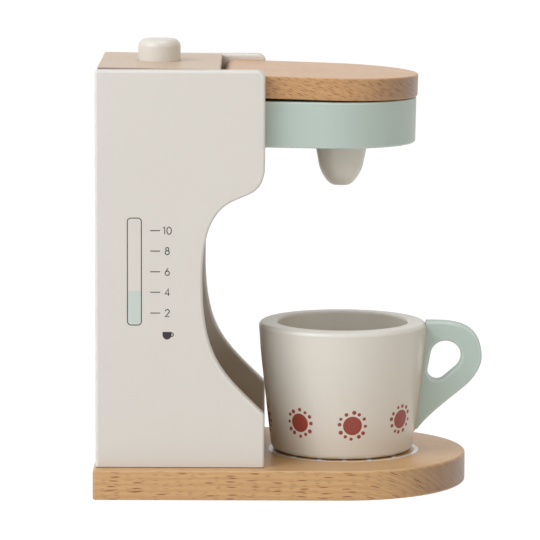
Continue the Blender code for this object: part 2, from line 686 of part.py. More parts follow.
def handle_spot(shares):
    """A place on the handle, from shares of its reach and its drop."""
    along, down = shares
    return (CUP_RIM_RADIUS + HANDLE_REACH * along, HANDLE_TOP - HANDLE_DROP * down)


def handle_pull(shares, x_sign, z_sign):
    """A step from a knot of the handle's outline, from shares of its reach and its drop."""
    along, down = shares
    return (x_sign * HANDLE_REACH * along, z_sign * HANDLE_DROP * down)


def handle_outline():
    """The handle seen from its side, running into the cup where it is cut to fit."""
    crown, nose = handle_spot(HANDLE_CROWN_SHARES), handle_spot(HANDLE_NOSE_SHARES)
    jaw, tail = handle_spot(HANDLE_JAW_SHARES), handle_spot(HANDLE_TAIL_SHARES)
    front = bezier(crown, handle_pull(HANDLE_CROWN_PULL_SHARES, 1, 1),
                   handle_pull(HANDLE_NOSE_PULL_SHARES, 1, 1), nose)
    chin = bezier(nose, handle_pull(HANDLE_NOSE_DROP_SHARES, 1, -1),
                  handle_pull(HANDLE_JAW_PULL_SHARES, 1, 1), jaw)
    slope = bezier(jaw, handle_pull(HANDLE_JAW_DROP_SHARES, -1, -1),
                   handle_pull(HANDLE_TAIL_PULL_SHARES, 1, 1), tail)
    root = CUP_FOOT_RADIUS - HANDLE_ROOT
    return front + chin[1:] + slope[1:] + [(root, tail[1]), (root, HANDLE_TOP)]


def finger_hole():
    """The drop-shaped hole of the handle: a wide and a narrow round end, joined by straight sides."""
    wide = Vector(handle_spot(FINGER_WIDE_SHARES))
    narrow = Vector(handle_spot(FINGER_NARROW_SHARES))
    run = narrow - wide
    lean = asin((FINGER_WIDE_RADIUS - FINGER_NARROW_RADIUS) / run.length)
    ahead = atan2(run.y, run.x)
    points = []
    ends = ((wide, FINGER_WIDE_RADIUS, ahead + pi / 2 - lean, pi + 2 * lean),
            (narrow, FINGER_NARROW_RADIUS, ahead - pi / 2 + lean, pi - 2 * lean))
    for centre, radius, start, sweep in ends:
        steps = round(sweep / STEP_ANGLE)
        for step in range(steps + 1):
            angle = start + sweep * step / steps
            points.append((centre.x + radius * cos(angle), centre.y + radius * sin(angle)))
    return points


def handle_dowel_runs():
    """Start and end of each dowel between the cup and its handle, as radius and height."""
    runs = []
    for drop in HANDLE_DOWEL_DROPS:
        height = HANDLE_TOP - drop
        share = height / CUP_BELLY_HEIGHT
        lower = CUP_FOOT_RADIUS + (CUP_BELLY_RADIUS - CUP_FOOT_RADIUS) * share
        surface = min(lower, CUP_RIM_RADIUS)
        runs.append((surface - HANDLE_DOWEL_IN_CUP, surface + HANDLE_DOWEL_IN_HANDLE, height))
    return runs


def build_handle(frame, cup):
    """The handle board, cut to the cup's round side, and its dowels."""
    half = HANDLE_THICKNESS / 2
    handle = placed("cup_handle", side_board(handle_outline(), -half, half), parent=frame)
    hole = side_board(finger_hole(), -half - CUT_OVERRUN, half + CUT_OVERRUN)
    shaped(handle, "finger_hole", hole, parent=frame)
    soften(handle, HANDLE_EDGE)
    grown = [(0, -CUT_OVERRUN), (CUP_FOOT_RADIUS + GLUE_GAP, -CUT_OVERRUN), *cup_outside(GLUE_GAP),
             (CUP_RIM_RADIUS + GLUE_GAP, CUP_HEIGHT + CUT_OVERRUN), (0, CUP_HEIGHT + CUT_OVERRUN)]
    radii = [0, 0, 0, CUP_SIDE_CURVE, 0, 0, 0]
    shaped(handle, "cup_clearance", turned(rounded(grown, radii, closed=False)), parent=frame)
    runs = handle_dowel_runs()
    wide = HANDLE_DOWEL_RADIUS + DOWEL_GAP
    into_handle = [rod(wide, (start, 0, height), (end + DOWEL_GAP, 0, height))
                   for start, end, height in runs]
    shaped(handle, "handle_dowel_holes", joined(into_handle), parent=frame)
    into_cup = [rod(wide, (start - DOWEL_GAP, 0, height), (end, 0, height))
                for start, end, height in runs]
    shaped(cup, "cup_dowel_holes", joined(into_cup), parent=frame)
    finished(handle, MINT, 0.45)
    for name, (start, end, height) in zip(("handle_dowel_upper", "handle_dowel_lower"), runs):
        dowel = rod(HANDLE_DOWEL_RADIUS, (start, 0, height), (end, 0, height))
        finished(placed(name, dowel, parent=frame), BIRCH, 0.7, smooth=True)


def main():
    """Clear the scene and build every piece."""
    for thing in list(bpy.data.objects):
        bpy.data.objects.remove(thing)
    build_base()
    build_panels()
    build_back()
    build_block()
    build_body_dowels()
    build_button()
    build_head()
    build_lid()
    build_cup()
    hinge = hinge_place()
    print("lid hinge:", [round(value, 5) for value in hinge], "lid slope:", round(degrees(LID_SLOPE), 2))


main()
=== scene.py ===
"""Looks of a wooden toy coffee maker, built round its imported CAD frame.

X runs from the back of the machine to the rounded front of its base, Y across it and Z up.
The origin lies under the middle of the base. All sizes are in metres, and colours are linear.
"""
import logging
from dataclasses import dataclass, field
from enum import Enum
from functools import cache
from math import asin, atan2, cos, dist, pi, radians, sin, sqrt, tan
from typing import Sequence

import bmesh
import bpy
from mathutils import Matrix, Vector
from mathutils.geometry import interpolate_bezier


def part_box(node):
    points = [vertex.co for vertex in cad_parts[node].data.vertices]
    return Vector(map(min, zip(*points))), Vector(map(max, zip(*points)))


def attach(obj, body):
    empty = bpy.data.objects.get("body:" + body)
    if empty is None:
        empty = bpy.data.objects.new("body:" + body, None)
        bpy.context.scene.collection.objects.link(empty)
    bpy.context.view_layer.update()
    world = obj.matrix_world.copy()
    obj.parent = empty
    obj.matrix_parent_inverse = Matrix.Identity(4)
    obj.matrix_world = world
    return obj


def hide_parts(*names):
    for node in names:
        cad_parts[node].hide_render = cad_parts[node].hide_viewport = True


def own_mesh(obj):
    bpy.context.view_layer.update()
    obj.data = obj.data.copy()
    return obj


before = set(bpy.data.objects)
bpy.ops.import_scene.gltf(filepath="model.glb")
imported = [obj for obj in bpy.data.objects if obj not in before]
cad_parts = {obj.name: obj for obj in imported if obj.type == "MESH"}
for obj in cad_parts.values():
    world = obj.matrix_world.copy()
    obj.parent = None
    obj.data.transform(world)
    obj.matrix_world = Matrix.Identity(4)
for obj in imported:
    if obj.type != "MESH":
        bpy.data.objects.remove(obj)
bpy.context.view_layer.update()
LOG = logging.getLogger("toy_coffee_maker")

Flat = tuple[float, float]
Triple = tuple[float, float, float]
Solid = bmesh.types.BMesh
Ring = Sequence[bmesh.types.BMVert]
Thing = bpy.types.Object
Socket = bpy.types.NodeSocket

# How finely turned, half round and curved lines are stepped
TURN_STEPS = 144
ARC_STEPS = 96
CURVE_STEPS = 40
FINE_TURN = radians(6)

# Corners sharper than this are rounded or shaded sharp
SHARP_TURN = radians(35)

# Faces of rounded edges are marked under this name and painted lighter, as wear and as a painted highlight;
# those of turned pieces are shorter than this
WEAR_AND_HIGHLIGHT_MARK = "soft_edge"
SHORT_STEP = 0.00022

# A swept line's section widens at its bends up to this half turn
WIDEST_BEND = radians(55)

# How far a cutter runs past the piece that it cuts
OVERRUN = 0.003

WHITE = (1.0, 1.0, 1.0)
ROOM_COLOUR = (0.29, 0.241, 0.168)
LAMP_COLOUR = (0.843, 0.917, 1.0)
FLOOR_COLOUR = (0.82, 0.81, 0.80)


class Body(Enum):
    """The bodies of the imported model."""

    HOUSING = "housing"
    LID = "lid"
    BUTTON = "button"
    CUP = "cup"


class Slot(Enum):
    """The material slots that the finishes name."""

    BEECH = "beech"
    PALE_BEECH = "beech_top"
    CREAM = "cream_paint"
    MINT = "mint_paint"
    DOWEL = "dowel_wood"
    STEEL = "steel"


# Flat lines


def rounded(corners: Sequence[Flat], radii: Sequence[float]) -> list[Flat]:
    """Turn each corner of a flat line into an arc.

    Args:
        corners: The line's corners in order.
        radii: One radius for each corner, zero for a sharp one and for the ends of an open line.

    Returns:
        The points of the softened line.
    """
    points: list[Flat] = []
    for index, (corner, radius) in enumerate(zip(corners, radii)):
        if not radius:
            points.append(corner)
            continue
        here = Vector(corner)
        back = (Vector(corners[index - 1]) - here).normalized()
        ahead = (Vector(corners[(index + 1) % len(corners)]) - here).normalized()
        half = back.angle(ahead) / 2
        centre = here + (back + ahead).normalized() * radius / sin(half)
        start = here + back * radius / tan(half) - centre
        turn = (pi - 2 * half) * (1 if back.cross(ahead) < 0 else -1)
        steps = max(3, round(abs(turn) / FINE_TURN))
        for step in range(steps + 1):
            angle = turn * step / steps
            points.append((centre.x + start.x * cos(angle) - start.y * sin(angle),
                           centre.y + start.x * sin(angle) + start.y * cos(angle)))
    return points


def bezier(start: Flat, start_pull: Flat, end_pull: Flat, end: Flat,
           steps: int = CURVE_STEPS) -> list[Flat]:
    """Points of a curve between two knots.

    Args:
        start: The first knot.
        start_pull: The step from the first knot to its handle.
        end_pull: The step from the last knot to its handle.
        end: The last knot.
        steps: How many points the curve gets.

    Returns:
        The curve's points, both knots included.
    """
    knots = (start, (start[0] + start_pull[0], start[1] + start_pull[1]),
             (end[0] + end_pull[0], end[1] + end_pull[1]), end)
    points = interpolate_bezier(*(Vector(knot).to_3d() for knot in knots), steps)
    return [(point.x, point.y) for point in points]


def ellipse(centre: Flat, radii: Flat, start: float, sweep: float, steps: int = 28) -> list[Flat]:
    """Points along an ellipse from the start angle through the sweep, both ends included."""
    angles = [start + sweep * step / steps for step in range(steps + 1)]
    return [(centre[0] + radii[0] * cos(angle), centre[1] + radii[1] * sin(angle)) for angle in angles]


def oval(centre: Flat, radii: Flat, steps: int = 28) -> list[Flat]:
    """The points of a whole ellipse."""
    return ellipse(centre, radii, 0, 2 * pi, steps)[:-1]


def circle(radius: float, steps: int = 28) -> list[Flat]:
    """The points of a circle round the origin."""
    return oval((0, 0), (radius, radius), steps)


def oblong(left: float, right: float, low: float, high: float) -> list[Flat]:
    """The corners of an oblong."""
    return [(left, low), (right, low), (right, high), (left, high)]


def half_round(rear: float, front: float, half_width: float) -> list[Flat]:
    """A board seen from above, straight at the rear and half round at the front."""
    arc = ellipse((front - half_width, 0), (half_width, half_width), -pi / 2, pi, ARC_STEPS)
    return [(rear, -half_width), *arc, (rear, half_width)]


# Solids


def prism(corners: Sequence[Triple], reach: Triple) -> Solid:
    """Push a flat outline along reach.

    Args:
        corners: The outline's points in space.
        reach: The step that the outline is pushed by.

    Returns:
        The closed solid.
    """
    solid = bmesh.new()
    face = solid.faces.new([solid.verts.new(corner) for corner in corners])
    pushed = bmesh.ops.extrude_face_region(solid, geom=[face])
    moved = [item for item in pushed["geom"] if isinstance(item, bmesh.types.BMVert)]
    bmesh.ops.translate(solid, verts=moved, vec=reach)
    bmesh.ops.recalc_face_normals(solid, faces=solid.faces)
    return solid


def board(outline: Sequence[Flat], low: float, high: float) -> Solid:
    """A flat board whose outline is seen from above, between two heights."""
    return prism([(x, y, low) for x, y in outline], (0, 0, high - low))


def side_board(outline: Sequence[Flat], low: float, high: float) -> Solid:
    """An upright board whose outline is seen from its side, between two places across."""
    return prism([(x, low, z) for x, z in outline], (0, high - low, 0))


def bridged(solid: Solid, low: Ring, high: Ring) -> list[bmesh.types.BMFace]:
    """Join two rings of points with faces."""
    return [solid.faces.new((low[i - 1], low[i], high[i], high[i - 1])) for i in range(len(low))]


def fanned(solid: Solid, tip: Sequence[float], ring: Ring) -> None:
    """Close a ring of points with faces to one new point."""
    middle = solid.verts.new(tip)
    for step in range(len(ring)):
        solid.faces.new((middle, ring[step - 1], ring[step]))


def turned(profile: Sequence[Flat], steps: int = TURN_STEPS, place: Flat = (0, 0)) -> Solid:
    """Turn a line of radii and heights round an upright axis.

    Args:
        profile: Radius and height of each point; the first and the last lie on the axis. Faces
        between points that lie close together are marked as an edge with wear and a painted highlight.
        steps: How many steps the full turn has.
        place: Where the axis stands.

    Returns:
        The closed solid.
    """
    solid = bmesh.new()
    wear_and_highlight_layer = solid.faces.layers.float.new(WEAR_AND_HIGHLIGHT_MARK)
    rings = [[solid.verts.new((x, y, height)) for x, y in circle(radius, steps)]
             for radius, height in profile[1:-1]]
    for low, high, start, end in zip(rings, rings[1:], profile[1:], profile[2:]):
        for face in bridged(solid, low, high):
            face[wear_and_highlight_layer] = float(dist(start, end) < SHORT_STEP)
    for end in (0, -1):
        fanned(solid, (0, 0, profile[end][1]), rings[end])
    bmesh.ops.recalc_face_normals(solid, faces=solid.faces)
    bmesh.ops.translate(solid, verts=solid.verts, vec=(*place, 0))
    return solid


def tube(path: Sequence[Vector], size: Flat, up: Sequence[float], closed: bool, sides: int = 8) -> Solid:
    """Sweep a flattened round section along a path.

    Args:
        path: The middle line's points.
        size: The section's full width, square to up, and its full height, along up.
        up: The direction that the section's height follows.
        closed: Whether the path comes back to its start.
        sides: How many points the section has.

    Returns:
        The closed solid.
    """
    solid = bmesh.new()
    rings = []
    for index, point in enumerate(path):
        before = path[index - 1] if closed or index else point
        after = path[(index + 1) % len(path)] if closed or index < len(path) - 1 else point
        into, out = (point - before).normalized(), (after - point).normalized()
        along = (into + out).normalized()
        bend = max(along.dot(out if out.length else into), cos(WIDEST_BEND))
        across = Vector(up).cross(along).normalized() * (size[0] / 2 / bend)
        rise = along.cross(across).normalized() * (size[1] / 2)
        rings.append([solid.verts.new(point + across * x + rise * z) for x, z in circle(1, sides)])
    for low, high in zip(rings, rings[1:] + rings[:1] if closed else rings[1:]):
        bridged(solid, low, high)
    if not closed:
        solid.faces.new(rings[0])
        solid.faces.new(rings[-1])
    bmesh.ops.recalc_face_normals(solid, faces=solid.faces)
    return solid


def joined(solids: Sequence[Solid]) -> Solid:
    """Put several separate solids in one mesh.

    Args:
        solids: The solids, which are freed.

    Returns:
        The mesh of all of them.
    """
    whole = bmesh.new()
    for solid in solids:
        mesh = bpy.data.meshes.new("part_of_a_whole")
        solid.to_mesh(mesh)
        solid.free()
        whole.from_mesh(mesh)
        bpy.data.meshes.remove(mesh)
    return whole


# Objects


def made(name: str, solid: Solid) -> Thing:
    """Make an object of a solid.

    Args:
        name: The object's name.
        solid: The solid, which is freed.

    Returns:
        The object, linked to the scene.
    """
    mesh = bpy.data.meshes.new(name)
    solid.to_mesh(mesh)
    solid.free()
    thing = bpy.data.objects.new(name, mesh)
    bpy.context.scene.collection.objects.link(thing)
    return thing


def settled(thing: Thing) -> Thing:
    """Apply every modifier of an object.

    Args:
        thing: The object.

    Returns:
        The same object with its new mesh.
    """
    graph = bpy.context.evaluated_depsgraph_get()
    mesh = bpy.data.meshes.new_from_object(thing.evaluated_get(graph))
    old = thing.data
    thing.modifiers.clear()
    thing.data = mesh
    mesh.name = thing.name
    bpy.data.meshes.remove(old)
    return thing


def softened(thing: Thing, width: float, segments: int = 5) -> Thing:
    """Round the object's sharp edges.

    Args:
        thing: The object.
        width: How far the rounding reaches from each edge.
        segments: How many faces it has.

    Returns:
        The same object, with the rounding applied and its faces marked as an edge with wear and a painted
        highlight.
    """
    while len(thing.data.materials) < 2:
        thing.data.materials.append(None)
    edge = thing.modifiers.new("soft_edges", "BEVEL")
    edge.material = 1
    edge.width = width
    edge.segments = segments
    edge.limit_method = "ANGLE"
    edge.angle_limit = SHARP_TURN
    edge.use_clamp_overlap = False
    mesh = settled(thing).data
    marks = mesh.attributes.get(WEAR_AND_HIGHLIGHT_MARK) or mesh.attributes.new(WEAR_AND_HIGHLIGHT_MARK, "FLOAT", "FACE")
    for face in mesh.polygons:
        if face.material_index == 1:
            marks.data[face.index].value = 1.0
    mesh.materials.clear()
    return thing


def cut(thing: Thing, solid: Solid, operation: str = "DIFFERENCE") -> Thing:
    """Cut the object with a solid.

    Args:
        thing: The object.
        solid: The cutter, which is freed.
        operation: The Boolean modifier's operation.

    Returns:
        The same object, with the cut applied.
    """
    cutter = made("cutter", solid)
    step = thing.modifiers.new("cut", "BOOLEAN")
    step.operation = operation
    step.solver = "EXACT"
    step.object = cutter
    settled(thing)
    mesh = cutter.data
    bpy.data.objects.remove(cutter)
    bpy.data.meshes.remove(mesh)
    return thing


def evened(thing: Thing) -> Thing:
    """Shade an object smooth, with flat faces kept flat and sharp edges kept sharp.

    Args:
        thing: The object.

    Returns:
        The same object.
    """
    thing.data.shade_smooth()
    thing.data.set_sharp_from_angle(angle=SHARP_TURN)
    thing.modifiers.new("even_shading", "WEIGHTED_NORMAL").keep_sharp = True
    return thing


# Shader nodes


@dataclass(frozen=True)
class Wire:
    """A shader value. Sums with it lay Math nodes in its sheet."""

    sheet: "NodeSheet"
    socket: Socket

    def __add__(self, other: "Value") -> "Wire":
        """This value plus another."""
        return self.sheet.maths("ADD", self, other)

    def __sub__(self, other: "Value") -> "Wire":
        """This value less another."""
        return self.sheet.maths("SUBTRACT", self, other)

    def __rsub__(self, other: "Value") -> "Wire":
        """Another value less this one."""
        return self.sheet.maths("SUBTRACT", other, self)

    def __mul__(self, other: "Value") -> "Wire":
        """This value times another."""
        return self.sheet.maths("MULTIPLY", self, other)


Value = Wire | Socket | float | Triple
Wires = dict[str, Wire]


class NodeSheet:
    """Lays out nodes in one tree with short calls."""

    def __init__(self, tree: bpy.types.NodeTree) -> None:
        """Work on this tree."""
        self.tree = tree

    def feed(self, socket: Socket, value: Value) -> None:
        """Link a socket to a value, or set its plain value.

        Args:
            socket: The socket that is fed.
            value: A wire or a socket to link, a number, or three numbers.
        """
        if isinstance(value, Wire):
            value = value.socket
        if isinstance(value, bpy.types.NodeSocket):
            self.tree.links.new(value, socket)
        else:
            socket.default_value = (*value, 1) if socket.type == "RGBA" else value

    def node(self, kind: str, inputs: dict[str | int, Value], **settings: object) -> bpy.types.Node:
        """Add a node.

        Args:
            kind: Its type.
            inputs: What feeds its inputs, by their names or numbers.
            **settings: Its own properties.

        Returns:
            The node.
        """
        node = self.tree.nodes.new(kind)
        for name, value in settings.items():
            setattr(node, name, value)
        for key, value in inputs.items():
            self.feed(node.inputs[key], value)
        return node

    def wire(self, kind: str, output: str | int, inputs: dict[str | int, Value],
             **settings: object) -> Wire:
        """One output of a new node."""
        return Wire(self, self.node(kind, inputs, **settings).outputs[output])

    def maths(self, operation: str, first: Value, second: Value = 0.0, clamp: bool = False) -> Wire:
        """The result of a Math node."""
        return self.wire("ShaderNodeMath", 0, {0: first, 1: second}, operation=operation, use_clamp=clamp)

    def mix(self, share: Value, first: Value, second: Value, blend: str = "MIX") -> Wire:
        """A colour between two others."""
        colours = {0: share, 6: first, 7: second}
        return self.wire("ShaderNodeMix", 2, colours, data_type="RGBA", blend_type=blend)

    def spread(self, value: Value, low: Value, high: Value,
               to_low: float = 0.0, to_high: float = 1.0) -> Wire:
        """A value eased from one range to another."""
        ends = {"Value": value, "From Min": low, "From Max": high, "To Min": to_low, "To Max": to_high}
        return self.wire("ShaderNodeMapRange", "Result", ends, interpolation_type="SMOOTHSTEP")

    def place(self) -> Wire:
        """The place on the object."""
        return self.wire("ShaderNodeTexCoord", "Object", {})

    def placed(self, vector: Value, scale: Value = (1, 1, 1), turn: Value = (0, 0, 0),
               shift: Value = (0, 0, 0)) -> Wire:
        """Coordinates that are stretched, turned and shifted."""
        return self.wire("ShaderNodeMapping", 0,
                         {"Vector": vector, "Scale": scale, "Rotation": turn, "Location": shift})

    def parts(self, vector: Value) -> list[Wire]:
        """The three parts of a vector."""
        return [Wire(self, part) for part in self.node("ShaderNodeSeparateXYZ", {0: vector}).outputs]

    def vector(self, x: Value, y: Value, z: Value = 0.0) -> Wire:
        """A vector of three parts."""
        return self.wire("ShaderNodeCombineXYZ", 0, {0: x, 1: y, 2: z})

    def noise(self, vector: Value, scale: float = 1.0, detail: float = 3.0, roughness: float = 0.5) -> Wire:
        """A soft random value between 0 and 1."""
        return self.wire("ShaderNodeTexNoise", "Fac",
                         {"Vector": vector, "Scale": scale, "Detail": detail, "Roughness": roughness})

    def cells(self, vector: Value) -> tuple[Wire, Wire]:
        """Distance to the nearest of many random points on X and Y, and a random value of that point."""
        node = self.node("ShaderNodeTexVoronoi", {"Vector": vector, "Scale": 1.0}, voronoi_dimensions="2D")
        return (Wire(self, node.outputs["Distance"]),
                self.wire("ShaderNodeSeparateColor", 0, {0: node.outputs["Color"]}))

    def seen_rays(self) -> Wire:
        """Tell the rays that see the background straight, in a reflection or through glass.

        Returns:
            1 for these rays and 0 for the others.
        """
        path = self.node("ShaderNodeLightPath", {}).outputs
        seen = self.maths("MAXIMUM", path["Is Camera Ray"], path["Is Glossy Ray"])
        return self.maths("MAXIMUM", seen, path["Is Transmission Ray"])


class Kind(Enum):
    """Kinds of socket that an effect takes or gives."""

    VALUE = "NodeSocketFloat"
    COLOUR = "NodeSocketColor"
    VECTOR = "NodeSocketVector"


VALUE, COLOUR, VECTOR = Kind


class Effect(NodeSheet):
    """A shader effect: a node group that is built once and placed in each material that uses it."""

    name: str
    takes: dict[str, Kind]
    gives: dict[str, Kind]

    def __init__(self) -> None:
        """Build the group with its sockets and its nodes."""
        super().__init__(bpy.data.node_groups.new(self.name, "ShaderNodeTree"))
        for side, ports in (("INPUT", self.takes), ("OUTPUT", self.gives)):
            for name, kind in ports.items():
                self.tree.interface.new_socket(name, in_out=side, socket_type=kind.value)
        source, sink = self.node("NodeGroupInput", {}), self.node("NodeGroupOutput", {})
        self.given = {name: Wire(self, source.outputs[name]) for name in self.takes}
        for name, wire in self.laid().items():
            self.feed(sink.inputs[name], wire)

    def laid(self) -> Wires:
        """Lay out the effect's nodes, and give the wire of each output."""
        raise NotImplementedError

    @classmethod
    @cache
    def built(cls) -> "Effect":
        """The effect's only group, built at the first call."""
        return cls()

    @classmethod
    def into(cls, sheet: NodeSheet, values: dict[str, Value]) -> Wires:
        """Place the effect in a sheet, fed with these values, and give the wire of each output."""
        node = sheet.node("ShaderNodeGroup", values, node_tree=cls.built().tree)
        return {name: Wire(sheet, node.outputs[name]) for name in cls.gives}


class EdgeWearAndHighlight(Effect):
    """Edges that hands and sanding have rubbed, and that get a painted highlight: up to 1 on the soft edges,
    0 on the flats.
    """

    name = "Rubbed edges with painted highlight"
    takes = {"Breaks": VALUE}
    gives = {"Mask": VALUE}
    break_scale = 260.0

    def laid(self) -> Wires:
        """Take the marked faces, and break them up with noise.

        Returns:
            The mask's wire.
        """
        edge = self.wire("ShaderNodeAttribute", "Fac", {}, attribute_type="GEOMETRY", attribute_name=WEAR_AND_HIGHLIGHT_MARK)
        breaks = self.spread(self.noise(self.place(), self.break_scale, 4.0, 0.6), 0.35, 0.65)
        return {"Mask": edge * (1.0 - self.given["Breaks"] * breaks)}


class Handling(Effect):
    """Faint smudges and fine scuffs that change the gloss."""

    name = "Handling marks"
    takes = {"Roughness": VALUE, "Change": VALUE}
    gives = {"Roughness": VALUE}
    smudge_scale = 42.0
    smudge_share = 0.7
    scuff_scale = (900.0, 120.0, 900.0)
    scuff_turn = (0.3, 0.5, 0.9)

    def laid(self) -> Wires:
        """Mix broad smudges with short fine scuffs.

        Returns:
            The wire of the changed roughness.
        """
        smudge = self.noise(self.place(), self.smudge_scale, roughness=0.55)
        scuff = self.noise(self.placed(self.place(), self.scuff_scale, self.scuff_turn), detail=2.0)
        marks = smudge * self.smudge_share + scuff * (1.0 - self.smudge_share)
        swing = (marks - 0.5) * self.given["Change"] * 2.0
        return {"Roughness": self.maths("ADD", self.given["Roughness"], swing, clamp=True)}


class SprayedPaint(Effect):
    """Sprayed satin paint: a little uneven in tone, with a fine peel, a trace of the wood below, and edges
    painted lighter as wear and as a painted highlight.
    """

    name = "Sprayed paint"
    takes = {"Colour": COLOUR, "Shade": COLOUR, "Edge Wear And Highlight Colour": COLOUR, "Unevenness": VALUE, "Peel": VALUE,
             "Grain Through": VALUE, "Grain Scale": VECTOR}
    gives = {"Colour": COLOUR, "Height": VALUE}
    cloud_scale = 26.0
    speck_scale = 1500.0
    peel_scale = 780.0

    def laid(self) -> Wires:
        """Lay broad clouds, fine specks and the peel.

        Returns:
            The wires of colour and height.
        """
        place, given = self.place(), self.given
        cloud = self.noise(place, self.cloud_scale, 4.0, 0.55)
        speck = self.noise(place, self.speck_scale, 2.0, 0.6)
        lines = self.noise(self.placed(place, given["Grain Scale"]), roughness=0.6)
        peel = self.noise(place, self.peel_scale, 2.0, 0.45)
        share = self.spread(cloud * 0.6 + speck * 0.4, 0.32, 0.68) * given["Unevenness"]
        # Soft edges are painted lighter: partly rubbed paint, partly a painted highlight where the edges
        # catch the light
        wear_and_highlight = EdgeWearAndHighlight.into(self, {"Breaks": 0.35})["Mask"]
        colour = self.mix(wear_and_highlight * 0.9, self.mix(share, given["Colour"], given["Shade"]), given["Edge Wear And Highlight Colour"])
        return {"Colour": colour, "Height": peel * given["Peel"] + lines * given["Grain Through"]}


class BeechGrain(Effect):
    """Beech with its grain along X: growth bands, fine pores and the short dark flecks of its rays.

    The rays are thin ribbons that lean across the board, so a side shows them as short dashes,
    and the end of a board shows them as long lines in darker end grain.
    """

    name = "Beech grain"
    takes = {"Light": COLOUR, "Dark": COLOUR, "Fleck Colour": COLOUR, "Turn": VECTOR, "Shift": VECTOR,
             "Lean": VALUE, "Flecks": VALUE, "Fineness": VALUE, "Share": VALUE, "Bands": VALUE}
    gives = {"Colour": COLOUR, "Height": VALUE}
    end_grain = (0.50, 0.50, 0.62)
    wander_scale = (22.0, 40.0, 40.0)
    wander_depth = 0.0024
    band_rate = 2300.0
    streak_scale = (45.0, 1300.0)
    pore_scale = (300.0, 4200.0, 160.0)
    cloud_scale = (14.0, 60.0, 60.0)
    long_flecks = (95.0, 800.0)
    short_flecks = (180.0, 1400.0)
    fleck_reach = 0.28

    def laid(self) -> Wires:
        """Lay bands, streaks, pores and flecks over each other, and darken the end grain.

        Returns:
            The wires of colour and height.
        """
        given = self.given
        source = self.node("ShaderNodeTexCoord", {}).outputs
        grain = self.placed(source["Object"], turn=given["Turn"], shift=given["Shift"])
        along, across, depth = self.parts(grain)
        wander = self.noise(self.placed(grain, self.wander_scale))
        layer = depth + across * given["Lean"] + wander * self.wander_depth
        band = self.spread(self.maths("SINE", layer * self.band_rate), -0.7, 1.0)
        streak = self.noise(self.scaled((along, layer), self.streak_scale), 1.0, 4.0, 0.66)
        pore = self.noise(self.scaled((along, layer, across), self.pore_scale), 1.0, 2.0, 0.7)
        pore = self.spread(pore, 0.52, 0.72)
        cloud = self.noise(self.placed(grain, self.cloud_scale))
        tone = (band * given["Bands"] + self.spread(streak, 0.3, 0.7) * 0.7
                + self.spread(cloud, 0.3, 0.7) * 0.35)
        wood = self.mix(self.maths("MULTIPLY", tone, 0.6, clamp=True), given["Light"], given["Dark"])
        wood = self.mix(pore * 0.3, wood, given["Fleck Colour"])
        rising = self.maths("ABSOLUTE", self.parts(source["Normal"])[2])
        shown = self.spread(rising, 0.55, 0.95, to_low=1.0, to_high=0.25) * given["Flecks"]
        mask = self.maths("MAXIMUM", self.flecks((along, layer), self.long_flecks),
                          self.flecks((along, layer), self.short_flecks) * 0.6)
        mask = self.maths("MULTIPLY", mask, shown, clamp=True)
        wood = self.mix(mask, wood, given["Fleck Colour"])
        facing = self.maths("ABSOLUTE", self.parts(self.placed(source["Normal"], turn=given["Turn"]))[0])
        darker = self.mix(1.0, wood, self.end_grain, "MULTIPLY")
        return {"Colour": self.mix(self.spread(facing, 0.25, 1.0), wood, darker),
                "Height": streak * 0.5 + pore * -0.4 - mask * 0.5}

    def scaled(self, places: Sequence[Wire], scale: Sequence[float]) -> Wire:
        """A vector of places in the grain, each times its own scale."""
        return self.vector(*(place * times for place, times in zip(places, scale)))

    def flecks(self, places: Sequence[Wire], rate: Flat) -> Wire:
        """Short lens-shaped dashes along the grain.

        Args:
            places: The place along the grain and the place across the rays.
            rate: How many cells of one dash each a metre has in these two directions.

        Returns:
            A mask that is 1 in the dashes.
        """
        fineness, reach, empty = self.given["Fineness"], self.fleck_reach, 1.0 - self.given["Share"]
        along, layer = (place * times * fineness for place, times in zip(places, rate))
        distance, chance = self.cells(self.vector(along, layer))
        dash = self.spread(distance, reach * 0.4, reach, to_low=1.0, to_high=0.0)
        return dash * self.spread(chance, empty, empty + 0.25)


# Finishes


class Finish:
    """A finish that dresses pieces and CAD nodes with one material."""

    name: str
    slot: Slot
    bump_depth: float
    bump_strength: float

    def lay(self, sheet: NodeSheet) -> tuple[dict[str, Value], Wire]:
        """Lay the nodes, and give what feeds the shader and the surface's height in bump depths."""
        raise NotImplementedError

    @cache
    def material(self) -> bpy.types.Material:
        """Build the finish's material at the first call.

        Returns:
            The material.
        """
        material = bpy.data.materials.new(self.name)
        material.use_nodes = True
        sheet = NodeSheet(material.node_tree)
        inputs, height = self.lay(sheet)
        bump = {"Height": height, "Distance": self.bump_depth, "Strength": self.bump_strength}
        inputs["Normal"] = sheet.wire("ShaderNodeBump", 0, bump)
        shader = material.node_tree.nodes["Principled BSDF"]
        for name, value in inputs.items():
            sheet.feed(shader.inputs[name], value)
        return material

    def dress(self, thing: Thing) -> None:
        """Give the object this finish alone.

        Args:
            thing: The object.
        """
        if not thing.material_slots:
            thing.data.materials.append(None)
        for slot in thing.material_slots:
            slot.material = self.material()


class CoatedFinish(Finish):
    """A finish that hands have marked, under a clear coat."""

    coat: float
    coat_roughness: float

    def drawn(self, effect: type[Effect], sheet: NodeSheet) -> Wires:
        """Place an effect fed with the fields of this finish that its inputs are named after."""
        own = {name: getattr(self, name.lower().replace(" ", "_")) for name in effect.takes}
        return effect.into(sheet, own)

    def coated(self, sheet: NodeSheet, colour: Wire) -> dict[str, Value]:
        """What a handled and coated surface feeds its shader."""
        return {"Base Color": colour, "Roughness": self.drawn(Handling, sheet)["Roughness"],
                "Coat Weight": self.coat, "Coat Roughness": self.coat_roughness}


